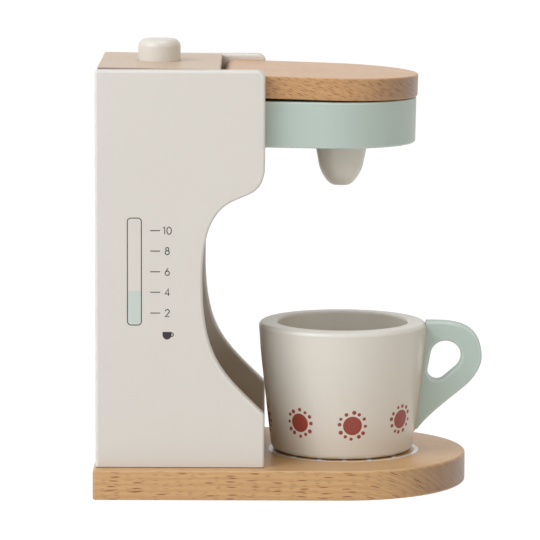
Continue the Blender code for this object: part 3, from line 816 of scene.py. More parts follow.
@dataclass(frozen=True)
class Paint(CoatedFinish):
    """Satin paint on wood or fibre board."""

    name: str
    slot: Slot
    colour: Triple
    shade: Triple
    edge_wear_and_highlight_colour: Triple
    roughness: float = 0.42
    change: float = 0.07
    unevenness: float = 0.35
    peel: float = 1.0
    grain_through: float = 0.0
    grain_scale: Triple = (35.0, 900.0, 900.0)
    coat: float = 0.0
    coat_roughness: float = 0.2
    bump_depth: float = 0.00004
    bump_strength: float = 0.35

    def lay(self, sheet: NodeSheet) -> tuple[dict[str, Value], Wire]:
        """Lay paint, gloss and peel."""
        paint = self.drawn(SprayedPaint, sheet)
        return self.coated(sheet, paint["Colour"]), paint["Height"]


@dataclass(frozen=True)
class Beech(CoatedFinish):
    """Clear-coated beech."""

    name: str
    slot: Slot
    light: Triple
    dark: Triple
    fleck_colour: Triple
    turn: Triple = (0.0, 0.0, 0.0)
    shift: Triple = (0.0, 0.0, 0.0)
    lean: float = 0.8
    flecks: float = 1.0
    fineness: float = 1.0
    share: float = 0.3
    bands: float = 0.6
    roughness: float = 0.45
    change: float = 0.1
    coat: float = 0.25
    coat_roughness: float = 0.3
    bump_depth: float = 0.00005
    bump_strength: float = 0.4

    def lay(self, sheet: NodeSheet) -> tuple[dict[str, Value], Wire]:
        """Lay grain, rubbed edges that also carry a painted highlight, and gloss."""
        grain, wear_and_highlight = self.drawn(BeechGrain, sheet), EdgeWearAndHighlight.into(sheet, {"Breaks": 0.6})["Mask"]
        # Soft edges are mixed toward the light wood tone: partly wear, partly a painted highlight
        return self.coated(sheet, sheet.mix(wear_and_highlight * 0.5, grain["Colour"], self.light)), grain["Height"]


@dataclass(frozen=True)
class Steel(Finish):
    """Plated steel with fine drawn lines."""

    name: str
    slot: Slot
    colour: Triple = (0.56, 0.56, 0.55)
    dull_colour: Triple = (0.42, 0.41, 0.39)
    roughness: float = 0.28
    dull_roughness: float = 0.45
    line_scale: Triple = (2500.0, 2500.0, 200.0)
    dull_scale: float = 180.0
    bump_depth: float = 0.00001
    bump_strength: float = 0.3

    def lay(self, sheet: NodeSheet) -> tuple[dict[str, Value], Wire]:
        """Lay drawn lines and a little dulling.

        Args:
            sheet: The material's sheet.

        Returns:
            What feeds the shader, and the surface's height.
        """
        lines = sheet.noise(sheet.placed(sheet.place(), self.line_scale))
        dull = sheet.spread(sheet.noise(sheet.place(), self.dull_scale), 0.35, 0.7)
        return {"Base Color": sheet.mix(dull, self.colour, self.dull_colour), "Metallic": 1.0,
                "Roughness": sheet.spread(lines, 0.3, 0.7, self.roughness, self.dull_roughness)}, lines


# The third colour of each paint is its edges, painted lighter as wear and as a painted highlight
CREAM = Paint("cream_satin_paint", Slot.CREAM,
              (0.702, 0.652, 0.597), (0.674, 0.624, 0.567), (0.75, 0.71, 0.66))
TURNED_CREAM = Paint("cream_paint_on_turned_wood", Slot.CREAM, (0.725, 0.672, 0.595), (0.69, 0.635, 0.56),
                     (0.77, 0.725, 0.655), roughness=0.34, unevenness=0.5, peel=1.4, grain_through=0.9,
                     grain_scale=(420.0, 420.0, 40.0), coat=0.12)
MINT = Paint("mint_satin_paint", Slot.MINT,
             (0.48, 0.567, 0.513), (0.456, 0.543, 0.489), (0.57, 0.655, 0.60),
             grain_through=0.4)
BEECH_BASE = Beech("beech_of_the_base", Slot.BEECH, (0.64, 0.385, 0.172), (0.51, 0.285, 0.115),
                   (0.24, 0.085, 0.028), lean=0.9, share=0.45)
BEECH_LID = Beech("beech_of_the_lid", Slot.BEECH,
                  (0.61, 0.335, 0.14), (0.49, 0.255, 0.10), (0.26, 0.11, 0.04),
                  turn=(0.0, -0.27, 0.0), shift=(0.31, 0.17, 0.07), lean=0.35, fineness=1.6, share=0.85,
                  bands=0.5, coat=0.4)
BEECH_BLOCK = Beech("beech_of_the_block", Slot.PALE_BEECH, (0.60, 0.455, 0.33), (0.55, 0.405, 0.285),
                    (0.42, 0.26, 0.17), turn=(0.0, 0.0, 1.45), shift=(0.5, 0.2, 0.3), flecks=0.6, bands=0.35,
                    roughness=0.5)
BIRCH = Beech("birch_dowels", Slot.DOWEL, (0.66, 0.50, 0.33), (0.58, 0.42, 0.26), (0.42, 0.28, 0.16),
              flecks=0.3, bands=0.3, roughness=0.62, coat=0.0)
# A pale wood-coloured line along the handle's seam
PALE_SEAM_LINE = Beech("pale_line_at_the_seam", Slot.DOWEL,
                 (0.80, 0.60, 0.42), (0.72, 0.50, 0.33), (0.50, 0.30, 0.18),
                 flecks=0.3, bands=0.3, roughness=0.55, coat=0.0)
STEEL = Steel("plated_steel", Slot.STEEL)
# Glue made near black as a painted shadow in the seam under the side boards
GLUE_AND_PAINTED_SHADOW = Paint("dark_glue_and_shadow_line", Slot.BEECH, (0.13, 0.065, 0.038), (0.10, 0.048, 0.028), (0.16, 0.08, 0.05),
             roughness=0.6, unevenness=0.7)
DARK_INK = Paint("dark_scale_ink", Slot.CREAM,
                 (0.012, 0.009, 0.009), (0.02, 0.015, 0.014), (0.03, 0.023, 0.02),
                 roughness=0.5, unevenness=0.6, peel=0.4)
MINT_INK = Paint("mint_scale_ink", Slot.MINT, (0.565, 0.62, 0.575), (0.54, 0.595, 0.55), (0.60, 0.65, 0.60),
                 roughness=0.48)
RED_INK = Paint("red_rosette_ink", Slot.CREAM,
                (0.32, 0.055, 0.036), (0.27, 0.044, 0.028), (0.38, 0.07, 0.05),
                roughness=0.4, unevenness=0.6)
WHITE_INK = Paint("white_drip_ring_ink", Slot.CREAM,
                  (0.88, 0.87, 0.84), (0.80, 0.785, 0.74), (0.90, 0.89, 0.86),
                  roughness=0.4, unevenness=0.7, coat=0.5)


# Sub-assemblies


class SubAssembly:
    """Pieces that are built and dressed together."""

    body = Body.HOUSING

    def hand_over(self, thing: Thing, finish: Finish, *nodes: str, body: Body | None = None) -> Thing:
        """Shade and dress a piece, and tie it to the frame.

        Args:
            thing: The piece.
            finish: Its finish.
            *nodes: The CAD nodes that it stands for.
            body: The body that it rides on, where it isn't the sub-assembly's own.

        Returns:
            The same piece.
        """
        finish.dress(evened(thing))
        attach(thing, (body or self.body).value)
        if nodes:
            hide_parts(*nodes)
        LOG.info("%s: %s, %d faces", thing.name, finish.name, len(thing.data.polygons))
        return thing

    def build(self) -> None:
        """Build every piece of the sub-assembly."""
        raise NotImplementedError


@dataclass
class Shape:
    """Sizes that several sub-assemblies share."""

    base_length: float = 0.1675
    base_width: float = 0.1136
    base_top: float = 0.0135
    glue_gap: float = 0.0003
    body_rear: float = -0.0828
    body_depth: float = 0.0751
    panel_outer: float = 0.0498
    panel_inner: float = 0.0423
    panel_height: float = 0.1767
    block_rear: float = -0.0819
    block_length: float = 0.05415
    block_thickness: float = 0.022
    block_rise: float = 0.0008
    button_axis: float = -0.0556
    print_height: float = 0.00004
    hinge: Vector = field(default_factory=lambda: Vector((-0.0218, 0, 0.18298)))

    @property
    def body_front(self) -> float:
        """X of the side panels' front edge."""
        return self.body_rear + self.body_depth

    @property
    def foot(self) -> float:
        """Height at which the side panels and the cup stand."""
        return self.base_top + self.glue_gap

    @property
    def panel_top(self) -> float:
        """Height of the side panels' top edge."""
        return self.foot + self.panel_height

    @property
    def inside(self) -> float:
        """Half the width of the pieces between the side panels."""
        return self.panel_inner - self.glue_gap


SHAPE = Shape()


class CarriedOver(SubAssembly):
    """The CAD nodes that stay in the scene as they are and only get a finish."""

    finishes = {"dowel": BIRCH, "lid_pin": STEEL, "button_washer": STEEL, "back_panel": CREAM}

    def build(self) -> None:
        """Dress each node with the finish of the first word here that its name holds."""
        for name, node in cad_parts.items():
            finish = next((finish for word, finish in self.finishes.items() if word in name), None)
            if finish:
                finish.dress(node)


@dataclass
class CrossScrew:
    """A screw with a cross recess in its head, standing with its head down."""

    head_radius: float
    head_height: float
    shank_radius: float
    length: float
    flat_head: bool = True
    pitch: float = 0.0013
    core_share: float = 0.74
    tip_share: float = 0.2
    rim_break: float = 0.06
    recess_arm: float = 0.56
    recess_half: float = 0.13
    recess_depth: float = 0.62

    def standing(self, name: str, place: Triple) -> Thing:
        """Build the screw.

        Args:
            name: Its name.
            place: The middle of its head's face.

        Returns:
            The screw's object.
        """
        inner, rim = self.shank_radius * self.core_share, self.head_radius * self.rim_break
        height = self.head_height if self.flat_head else self.head_height + self.pitch / 2
        profile: list[Flat] = [(0, 0), (self.head_radius - rim, 0), (self.head_radius, rim)]
        if not self.flat_head:
            profile.append((self.head_radius, self.head_height))
        profile.append((self.shank_radius, height))
        height += self.pitch
        while height < self.length - 2 * self.pitch:
            profile += [(inner, height), (self.shank_radius, height + self.pitch / 2)]
            height += self.pitch
        profile += [(inner, height), (inner * self.tip_share, self.length), (0, self.length)]
        screw = made(name, turned(profile, 40))
        arm, half = self.head_radius * self.recess_arm, self.head_radius * self.recess_half
        depth = self.head_height * self.recess_depth
        for x, y in ((arm, half), (half, arm)):
            cut(screw, board(oblong(-x, x, -y, y), -depth, depth))
        screw.location = place
        return screw


@dataclass
class BasePlate(SubAssembly):
    """The beech base with its screws and its printed drip ring."""

    edge: float = 0.0011
    screw_inset: float = 0.0165
    screw_sink: float = 0.0015
    cone_top: float = 0.0038
    hole_top: float = 0.009
    ring_middle: float = 0.0283
    ring_outer: float = 0.0342
    line_width: float = 0.0019
    bar_overlap: float = 0.9
    bar_spacing: float = 0.0112
    screw: CrossScrew = field(default_factory=lambda: CrossScrew(0.0036, 0.0022, 0.0017, 0.0282))

    def build(self) -> None:
        """Build the plate, the screws and the print."""
        half_length = SHAPE.base_length / 2
        outline = half_round(-half_length, half_length, SHAPE.base_width / 2)
        plate = softened(made("base_board", board(outline, 0, SHAPE.base_top)), self.edge)
        wide = self.screw.head_radius + SHAPE.glue_gap
        line = [(0, -OVERRUN), (wide, -OVERRUN), (wide, self.screw_sink - SHAPE.glue_gap),
                (wide / 2, self.cone_top), (wide / 2, self.hole_top), (0, self.hole_top)]
        cut(plate, joined([turned(line, 48, place) for place in self.screw_places()]))
        self.hand_over(plate, BEECH_BASE, "base_plate")
        for number, place in enumerate(self.screw_places(), start=1):
            screw = self.screw.standing(f"countersunk_screw_{number}", (*place, self.screw_sink))
            self.hand_over(screw, STEEL, f"base_screw_{number}")
        self.hand_over(self.drip_ring(), WHITE_INK)

    def screw_places(self) -> list[Flat]:
        """Find the screws, seen from above.

        Returns:
            Their places in the order of the CAD nodes.
        """
        middle = (SHAPE.panel_outer + SHAPE.panel_inner) / 2
        lengthwise = (SHAPE.body_rear + self.screw_inset, SHAPE.body_front - self.screw_inset)
        return [(x, side * middle) for x in lengthwise for side in (-1, 1)]

    def drip_ring(self) -> Thing:
        """Print the ring with its five bars.

        Returns:
            The print, as thin ink.
        """
        top, half = SHAPE.base_top, self.line_width / 2
        low, high = top - SHAPE.print_height, top + SHAPE.print_height
        ring = circle(self.ring_outer - half, TURN_STEPS)
        path = [Vector((self.ring_middle + x, y, top)) for x, y in ring]
        solids = [tube(path, (self.line_width, high - low), (0, 0, 1), True)]
        for number in range(-2, 3):
            offset = number * self.bar_spacing
            reach = sqrt((self.ring_outer - self.line_width * self.bar_overlap) ** 2 - offset ** 2)
            x = self.ring_middle + offset
            solids.append(board(oblong(x - half, x + half, -reach, reach), low, high))
        return made("drip_ring_print", joined(solids))


@dataclass
class SidePanels(SubAssembly):
    """The two painted side boards with their cut-away."""

    edge: float = 0.0013
    front_corner: float = 0.0037
    rear_corner: float = 0.0014
    low_corner: float = 0.003
    overlong: float = 0.004
    dark_line_inset: float = 0.0003
    dark_line_corner: float = 0.0006
    depth: float = 0.0277
    height: float = 0.1117
    low: float = 0.0235
    middle_share: float = 0.538
    low_pull: Flat = (0.70, 0.169)
    middle_pull: Flat = (0.315, 0.455)
    high_pull: float = 0.227

    def outline(self) -> list[Flat]:
        """Draw a side board from its side, a little too long at its foot.

        Returns:
            Its outline.
        """
        low_height = SHAPE.foot + self.low
        low, high = (SHAPE.body_front, low_height), (SHAPE.body_front, low_height + self.height)
        middle = (SHAPE.body_front - self.depth, low_height + self.height * self.middle_share)
        lower = bezier(low, (-self.depth * self.low_pull[0], self.height * self.low_pull[1]),
                       (0, -self.height * self.middle_pull[0]), middle)
        upper = bezier(middle, (0, self.height * self.middle_pull[1]),
                       (0, -self.height * self.high_pull), high)
        foot = SHAPE.foot - self.overlong
        corners = [(SHAPE.body_rear, foot), (SHAPE.body_front, foot), low, *lower[4:], *upper[1:],
                   (SHAPE.body_front, SHAPE.panel_top), (SHAPE.body_rear, SHAPE.panel_top)]
        radii = [0.0] * len(corners)
        radii[2], radii[-2], radii[-1] = self.low_corner, self.front_corner, self.rear_corner
        return rounded(corners, radii)

    def glue_and_shadow_line(self, name: str, side: int) -> Thing:
        """Build the thin dark line under a side board, a little inside its foot: glue, darkened further as a
        painted shadow of the seam.

        Args:
            name: Its name.
            side: 1 for the far board, -1 for the near one.

        Returns:
            The line's object.
        """
        rear, front = SHAPE.body_rear + self.dark_line_inset, SHAPE.body_front - self.dark_line_inset
        inner, outer = SHAPE.panel_inner + self.dark_line_inset, SHAPE.panel_outer - self.dark_line_inset
        across = sorted((side * inner, side * outer))
        outline = rounded(oblong(rear, front, *across), [self.dark_line_corner] * 4)
        return made(name, board(outline, SHAPE.base_top, SHAPE.foot))

    def waste(self) -> Solid:
        """Find what is sawn off flat below the foot, so that the lowest edges stay crisp.

        Returns:
            The cutter.
        """
        half = SHAPE.panel_outer + OVERRUN
        sawn = oblong(SHAPE.body_rear - OVERRUN, SHAPE.body_front + OVERRUN, -half, half)
        return board(sawn, SHAPE.foot - 2 * self.overlong, SHAPE.foot)

    def build(self) -> None:
        """Build both side boards and the dark line under them, which is glue and painted shadow."""
        for name, node, side in (("near_side_board", "side_panel_right", -1),
                                 ("far_side_board", "side_panel_left", 1)):
            solid = side_board(self.outline(), side * SHAPE.panel_inner, side * SHAPE.panel_outer)
            panel = cut(softened(made(name, solid), self.edge), self.waste())
            self.hand_over(panel, CREAM, node)
            self.hand_over(self.glue_and_shadow_line(f"{name}_glue_and_shadow_line", side), GLUE_AND_PAINTED_SHADOW)


# Each digit's width and its strokes in a box of height 1, each with whether it is closed
GLYPHS: dict[str, tuple[float, list[tuple[list[Flat], bool]]]] = {
    "0": (0.62, [(oval((0.31, 0.5), (0.31, 0.5)), True)]),
    "1": (0.2, [([(0.0, 0.84), (0.2, 1.0), (0.2, 0.0)], False)]),
    "2": (0.56, [(ellipse((0.28, 0.72), (0.27, 0.28), pi * 0.97, -pi * 1.12)
                  + [(0.3, 0.32), (0.0, 0.0), (0.58, 0.0)], False)]),
    "4": (0.62, [([(0.46, 0.0), (0.46, 1.0), (0.0, 0.27), (0.62, 0.27)], False)]),
    "6": (0.58, [(oval((0.29, 0.3), (0.29, 0.3)), True), ([(0.04, 0.43), (0.2, 0.72), (0.4, 1.0)], False)]),
    "8": (0.54, [(oval((0.27, 0.76), (0.21, 0.24)), True), (oval((0.27, 0.27), (0.27, 0.27)), True)]),
}


@dataclass
class LevelScale(SubAssembly):
    """The printed level scale on the near side board."""

    left: float = -0.0684
    right: float = -0.0622
    bottom: float = 0.0776
    top: float = 0.12525
    corner: float = 0.0016
    fill_top: float = 0.09277
    mark_left: float = -0.05831
    mark_right: float = -0.05394
    digit_middle: float = -0.05077
    digit_height: float = 0.0032
    digit_space: float = 0.3
    sign_middle: float = -0.0509
    sign_top: float = 0.07455
    sign_half: float = 0.002
    sign_depth: float = 0.0034
    sign_straight: float = 0.35
    ear_radii: Flat = (0.0009, 0.00085)
    ear_place: Flat = (0.95, 0.36)
    line: float = 0.00044
    marks: tuple[tuple[str, float], ...] = (("10", 0.1197), ("8", 0.11063), ("6", 0.1014), ("4", 0.09227),
                                            ("2", 0.08298))

    def stroke(self, points: Sequence[Flat], closed: bool = False) -> Solid:
        """One line of ink on the board's outer face."""
        path = [Vector((x, -SHAPE.panel_outer, z)) for x, z in points]
        return tube(path, (self.line, 2 * SHAPE.print_height), (0, 1, 0), closed)

    @staticmethod
    def filled(points: Sequence[Flat], share: float = 1.0) -> Solid:
        """A flat patch of ink, a share of the full ink's height."""
        proud = SHAPE.print_height * share
        return side_board(points, -SHAPE.panel_outer - proud, -SHAPE.panel_outer + proud)

    def number(self, text: str, height: float) -> list[Solid]:
        """Draw a number.

        Args:
            text: Its digits.
            height: The height of its middle.

        Returns:
            Its strokes.
        """
        total = sum(GLYPHS[digit][0] for digit in text) + self.digit_space * (len(text) - 1)
        x = self.digit_middle - total * self.digit_height / 2
        solids = []
        for width, strokes in (GLYPHS[digit] for digit in text):
            for points, closed in strokes:
                spots = [(x + across * self.digit_height, height + (rise - 0.5) * self.digit_height)
                         for across, rise in points]
                solids.append(self.stroke(spots, closed))
            x += (width + self.digit_space) * self.digit_height
        return solids

    def cup_sign(self) -> list[Solid]:
        """Draw the small plain cup under the numbers.

        Returns:
            Its bowl and its ear.
        """
        middle, top, half = self.sign_middle, self.sign_top, self.sign_half
        straight = self.sign_depth * self.sign_straight
        bowl = ellipse((middle, top - straight), (half, self.sign_depth - straight), pi, pi, 20)
        root = (middle + half * self.ear_place[0], top - self.sign_depth * self.ear_place[1])
        ear = ellipse(root, self.ear_radii, -pi / 2, pi, 14)
        return [self.filled([(middle - half, top), *bowl, (middle + half, top)]), self.stroke(ear)]

    def build(self) -> None:
        """Print the outline, the level, the marks, the numbers and the sign."""
        inset, corner = self.line / 2, self.corner
        window = rounded(oblong(self.left, self.right, self.bottom, self.top), [corner] * 4)
        level = rounded(oblong(self.left + inset, self.right - inset, self.bottom + inset, self.fill_top),
                        [corner - inset, corner - inset, 0, 0])
        marks = [self.stroke([(self.mark_left, z), (self.mark_right, z)]) for _, z in self.marks]
        numbers = [solid for text, z in self.marks for solid in self.number(text, z)]
        for name, solid, ink in (("scale_outline", self.stroke(window, True), DARK_INK),
                                 ("scale_level", self.filled(level, 0.5), MINT_INK),
                                 ("scale_marks", joined(marks), DARK_INK),
                                 ("scale_numbers", joined(numbers), DARK_INK),
                                 ("scale_cup_sign", joined(self.cup_sign()), DARK_INK)):
            self.hand_over(made(name, solid), ink)


@dataclass
class TopBlock(SubAssembly):
    """The pale block on top with the bore of the button."""

    axis: float = SHAPE.button_axis
    edge: float = 0.0004
    bore: float = 0.01
    stem_bore: float = 0.0044
    seat: float = 0.17641
    rim: float = 0.0002

    def build(self) -> None:
        """Build the block."""
        rear, front = SHAPE.block_rear, SHAPE.block_rear + SHAPE.block_length
        low, high = SHAPE.panel_top - SHAPE.block_thickness, SHAPE.panel_top
        outline = [(rear, low), (front, low), (front, high), (rear, high + SHAPE.block_rise)]
        solid = side_board(outline, -SHAPE.inside, SHAPE.inside)
        block = softened(made("button_block", solid), self.edge, 4)
        line = [(0, low - OVERRUN), (self.stem_bore, low - OVERRUN), (self.stem_bore, self.seat),
                (self.bore, self.seat), (self.bore, high + OVERRUN), (0, high + OVERRUN)]
        cut(block, turned(line, 96, (self.axis, 0)))
        self.hand_over(softened(block, self.rim, 3), BEECH_BLOCK, "top_block")


@dataclass
class PushButton(SubAssembly):
    """The button with its stem, its coil spring and its retainer."""

    body = Body.BUTTON
    axis: float = SHAPE.button_axis
    top_of_block: float = 0.19091
    radius: float = 0.0096
    height: float = 0.0099
    crown: float = 0.0036
    low_edge: float = 0.0006
    sunk: float = 0.0045
    stem: float = 0.004
    coil_radius: float = 0.0068
    wire: float = 0.0009
    turns: float = 5.0
    flat_turns: float = 0.75
    turn_steps: int = 40
    travel: float = 0.005
    screw: CrossScrew = field(
        default_factory=lambda: CrossScrew(0.0034, 0.0018, 0.0014, 0.0142, flat_head=False, pitch=0.001))

    def build(self) -> None:
        """Build the knob, the screw and the coil."""
        stem_end = SHAPE.panel_top - SHAPE.block_thickness - self.top_of_block
        corners = [(0, self.height), (self.radius, self.height), (self.radius, -self.sunk),
                   (self.stem, -self.sunk), (self.stem, stem_end), (0, stem_end)]
        knob = made("button_knob", turned(rounded(corners, [0, self.crown, self.low_edge, 0, 0, 0])))
        knob.location = (self.axis, 0, self.top_of_block)
        self.hand_over(knob, TURNED_CREAM, "push_button")
        low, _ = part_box("button_screw")
        screw = self.screw.standing("button_pan_screw", (self.axis, 0, low.z))
        self.hand_over(screw, STEEL, "button_screw")
        self.build_coil()

    def build_coil(self) -> None:
        """Build the coil at its rest length, riding on the housing; the real one shortens as the button goes
        down.
        """
        low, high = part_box("button_spring")
        bottom, top = low.z + self.wire / 2, high.z - self.wire / 2
        rise, flat = self.wire + 2 * SHAPE.glue_gap, self.flat_turns
        path = []
        for index in range(round(self.turns * self.turn_steps) + 1):
            turn = index / self.turn_steps
            if turn < flat:
                height = bottom + rise * turn
            elif turn > self.turns - flat:
                height = top - rise * (self.turns - turn)
            else:
                share = (turn - flat) / (self.turns - 2 * flat)
                height = bottom + rise * flat + (top - bottom - 2 * rise * flat) * share
            x, y = self.coil_radius * cos(2 * pi * turn), self.coil_radius * sin(2 * pi * turn)
            path.append(Vector((self.axis + x, y, height)))
        coil = made("button_coil", tube(path, (self.wire, self.wire), (0, 0, 1), False, 12))
        self.hand_over(coil, STEEL, "button_spring", body=Body.HOUSING)
        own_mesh(settled(coil))


@dataclass
class BrewHead(SubAssembly):
    """The mint head with its pod pocket, and the nozzle below it."""

    slope: float = radians(0.95)
    drop: float = 0.0142
    reach: float = 0.0681
    tail: float = 0.0188
    thickness: float = 0.0205
    edge: float = 0.0009
    pocket_radius: float = 0.0235
    pocket_depth: float = 0.0105
    pocket_place: float = 0.0265
    pocket_corner: float = 0.002
    pocket_edge: float = 0.0005
    nozzle_place: float = 0.0347
    nozzle_radius: float = 0.01215
    nozzle_length: float = 0.0201
    tip_radius: float = 0.0035
    shoulder: Flat = (0.819, 0.56)
    shoulder_pull: Flat = (0.062, 0.14)
    tip_pull: Flat = (0.543, 0.045)
    tenon_radius: float = 0.005
    tenon_length: float = 0.006

    def build(self) -> None:
        """Build the head and the nozzle in their sloping place."""
        outline = half_round(-self.tail, self.reach, SHAPE.inside)
        head = softened(made("mint_head", board(outline, -self.thickness, 0)), self.edge)
        corners = [(0, -self.pocket_depth), (self.pocket_radius, -self.pocket_depth),
                   (self.pocket_radius, OVERRUN), (0, OVERRUN)]
        cut(head, turned(rounded(corners, [0, self.pocket_corner, 0, 0]), 96, (self.pocket_place, 0)))
        place = Matrix.Translation((SHAPE.body_front, 0, SHAPE.panel_top - self.drop))
        for thing, finish, node in ((softened(head, self.pocket_edge, 3), MINT, "brew_head"),
                                    (self.nozzle(), TURNED_CREAM, "nozzle")):
            thing.matrix_world = place @ Matrix.Rotation(self.slope, 4, "Y")
            self.hand_over(thing, finish, node)

    def nozzle(self) -> Thing:
        """Build the turned nozzle with its tenon.

        Returns:
            The nozzle, in the head's own frame.
        """
        radius, length, tip = self.nozzle_radius, self.nozzle_length, self.tip_radius
        top = -self.thickness - SHAPE.glue_gap
        curve = bezier((radius * self.shoulder[0], -length * self.shoulder[1]),
                       (-radius * self.shoulder_pull[0], -length * self.shoulder_pull[1]),
                       (radius * self.tip_pull[0] - tip, length * self.tip_pull[1]), (tip, -length), 24)
        profile = [(0, self.tenon_length), (self.tenon_radius, self.tenon_length), (self.tenon_radius, 0),
                   (radius, 0), *curve, (0, -length)]
        return made("cream_nozzle", turned([(r, z + top) for r, z in profile], 96, (self.nozzle_place, 0)))


@dataclass
class Lid(SubAssembly):
    """The beech lid with its round hinge end."""

    body = Body.LID
    slope: float = radians(1.75)
    thickness: float = 0.01
    length: float = 0.0829
    edge: float = 0.0007
    side_gap: float = 0.0004
    pin_radius: float = 0.0015
    pin_length: float = 0.012

    def build(self) -> None:
        """Build the lid."""
        radius = self.thickness / 2
        half_width = SHAPE.panel_inner - self.side_gap
        section = [*ellipse((0, 0), (radius, radius), pi / 2, pi, 32),
                   (self.length, -radius), (self.length, radius)]
        lid = made("beech_lid", side_board(section, -half_width, half_width))
        plan = half_round(-self.thickness, self.length, half_width)
        softened(cut(lid, board(plan, -self.thickness, self.thickness), "INTERSECT"), self.edge)
        bore, inner = self.pin_radius + self.side_gap, half_width - self.pin_length - self.side_gap
        cut(lid, joined([side_board(circle(bore, 48), side * inner, side * (half_width + OVERRUN))
                         for side in (-1, 1)]))
        lid.matrix_world = Matrix.Translation(SHAPE.hinge) @ Matrix.Rotation(self.slope, 4, "Y")
        self.hand_over(lid, BEECH_LID, "lid")


@dataclass
class Cup(SubAssembly):
    """The turned cup with its board handle and its ring of rosettes."""

    body = Body.CUP
    place: float = 0.0276
    height: float = 0.0587
    rim_radius: float = 0.0381
    belly_radius: float = 0.0372
    belly_height: float = 0.045
    foot_radius: float = 0.03203
    foot_edge: float = 0.0033
    side_curve: float = 0.15
    mouth_radius: float = 0.0297
    floor_radius: float = 0.0245
    floor_thickness: float = 0.0085
    floor_corner: float = 0.006
    lip_outer: float = 0.002
    lip_inner: float = 0.0012
    steps: int = 192
    handle_thickness: float = 0.0078
    handle_edge: float = 0.0013
    handle_root: float = 0.008
    crown: Flat = (0.04166, 0.059)
    nose: Flat = (0.0634, 0.0423)
    jaw: Flat = (0.05561, 0.029)
    tail: Flat = (0.034, 0.0089)
    front_pulls: tuple[Flat, Flat] = ((0.0115, 0), (0, 0.01476))
    chin_pulls: tuple[Flat, Flat] = ((0, -0.00346), (0.00511, 0.00433))
    slope_pulls: tuple[Flat, Flat] = ((-0.0074, -0.00627), (0.00492, 0.00713))
    hole_wide: Flat = (0.04698, 0.04307)
    hole_narrow: Flat = (0.04319, 0.0365)
    wide_radius: float = 0.00695
    narrow_radius: float = 0.0044
    seam: float = 0.00004
    seam_bead: float = 0.00032
    seam_below_rim: float = 0.0016
    disc_radius: float = 0.0043
    dot_ring: float = 0.006
    dot_radius: float = 0.00084
    dots: int = 12
    dot_drift: float = 0.12
    dot_stray: float = 0.03
    dot_swell: float = 0.14
    ink_height: float = 0.00005
    rosettes: tuple[Flat, ...] = ((-125.0, 0.0163), (-82.9, 0.01595), (-40.0, 0.0172), (-174.0, 0.0149),
                                  (137.0, 0.0168), (91.0, 0.0163), (45.0, 0.0166))

    def outside(self, growth: float = 0.0) -> list[Flat]:
        """The cup's outer line from its foot to its rim, grown outward."""
        return [(self.foot_radius + growth, 0), (self.belly_radius + growth, self.belly_height),
                (self.rim_radius + growth, self.height)]

    def side_radius(self, height: float) -> float:
        """Measure the cup's side.

        Args:
            height: A height above its foot.

        Returns:
            The radius there.
        """
        foot, belly, rim = self.outside()
        low, high = (foot, belly) if height < self.belly_height else (belly, rim)
        return low[0] + (high[0] - low[0]) * (height - low[1]) / (high[1] - low[1])

    def build(self) -> None:
        """Build the cup, its handle and its rosettes."""
        corners = [(0, 0), *self.outside(), (self.mouth_radius, self.height),
                   (self.floor_radius, self.floor_thickness), (0, self.floor_thickness)]
        radii = [0, self.foot_edge, self.side_curve, self.lip_outer, self.lip_inner, self.floor_corner, 0]
        bowl = made("cup_bowl", turned(rounded(corners, radii), self.steps))
        half = self.handle_thickness / 2
        handle = made("mint_handle", side_board(self.handle_outline(), -half, half))
        cut(handle, side_board(self.finger_hole(), -half - OVERRUN, half + OVERRUN))
        cut(softened(handle, self.handle_edge, 6), self.grown_cup(self.seam))
        for thing, finish, nodes in ((bowl, TURNED_CREAM, ["cup_body"]), (handle, MINT, ["cup_handle"]),
                                     (self.handle_seam(half), PALE_SEAM_LINE, [])):
            thing.location = (self.place, 0, SHAPE.foot)
            self.hand_over(thing, finish, *nodes)
        for number, (degrees_round, height) in enumerate(self.rosettes, start=1):
            rosette = self.rosette(number, radians(degrees_round), height)
            self.hand_over(made(f"rosette_{number}", rosette), RED_INK)

    def handle_outline(self) -> list[Flat]:
        """Draw the handle from its side, running into the cup.

        Returns:
            Its outline.
        """
        front = bezier(self.crown, *self.front_pulls, self.nose)
        chin = bezier(self.nose, *self.chin_pulls, self.jaw)
        slope = bezier(self.jaw, *self.slope_pulls, self.tail)
        root = self.foot_radius - self.handle_root
        return front + chin[1:] + slope[1:] + [(root, self.tail[1]), (root, self.crown[1])]

    def finger_hole(self) -> list[Flat]:
        """Draw the drop-shaped hole: a wide and a narrow round end, joined by straight sides.

        Returns:
            Its outline.
        """
        wide, narrow = (self.wide_radius, self.wide_radius), (self.narrow_radius, self.narrow_radius)
        run = Vector(self.hole_narrow) - Vector(self.hole_wide)
        lean = asin((self.wide_radius - self.narrow_radius) / run.length)
        ahead = atan2(run.y, run.x)
        return (ellipse(self.hole_wide, wide, ahead + pi / 2 - lean, pi + 2 * lean, 40)
                + ellipse(self.hole_narrow, narrow, ahead - pi / 2 + lean, pi - 2 * lean))

    def grown_cup(self, growth: float) -> Solid:
        """The cup's outside as a solid, grown outward and run past both ends."""
        line = [(0, -OVERRUN), (self.foot_radius + growth, -OVERRUN), *self.outside(growth),
                (self.rim_radius + growth, self.height + OVERRUN), (0, self.height + OVERRUN)]
        return turned(rounded(line, [0, 0, 0, self.side_curve, 0, 0, 0]), self.steps)

    def handle_seam(self, half: float) -> Thing:
        """Build the thin pale wood-coloured line where the handle meets the cup.

        Args:
            half: Half of the handle's thickness.

        Returns:
            The line's object.
        """
        bead, top = self.seam_bead, self.height - self.seam_below_rim
        wide = [(r, h - bead if h <= self.jaw[1] else min(h, top)) for r, h in self.handle_outline()]
        seam = made("handle_seam", side_board(wide, -half - bead, half + bead))
        return cut(cut(seam, self.grown_cup(bead), "INTERSECT"), self.grown_cup(-bead))

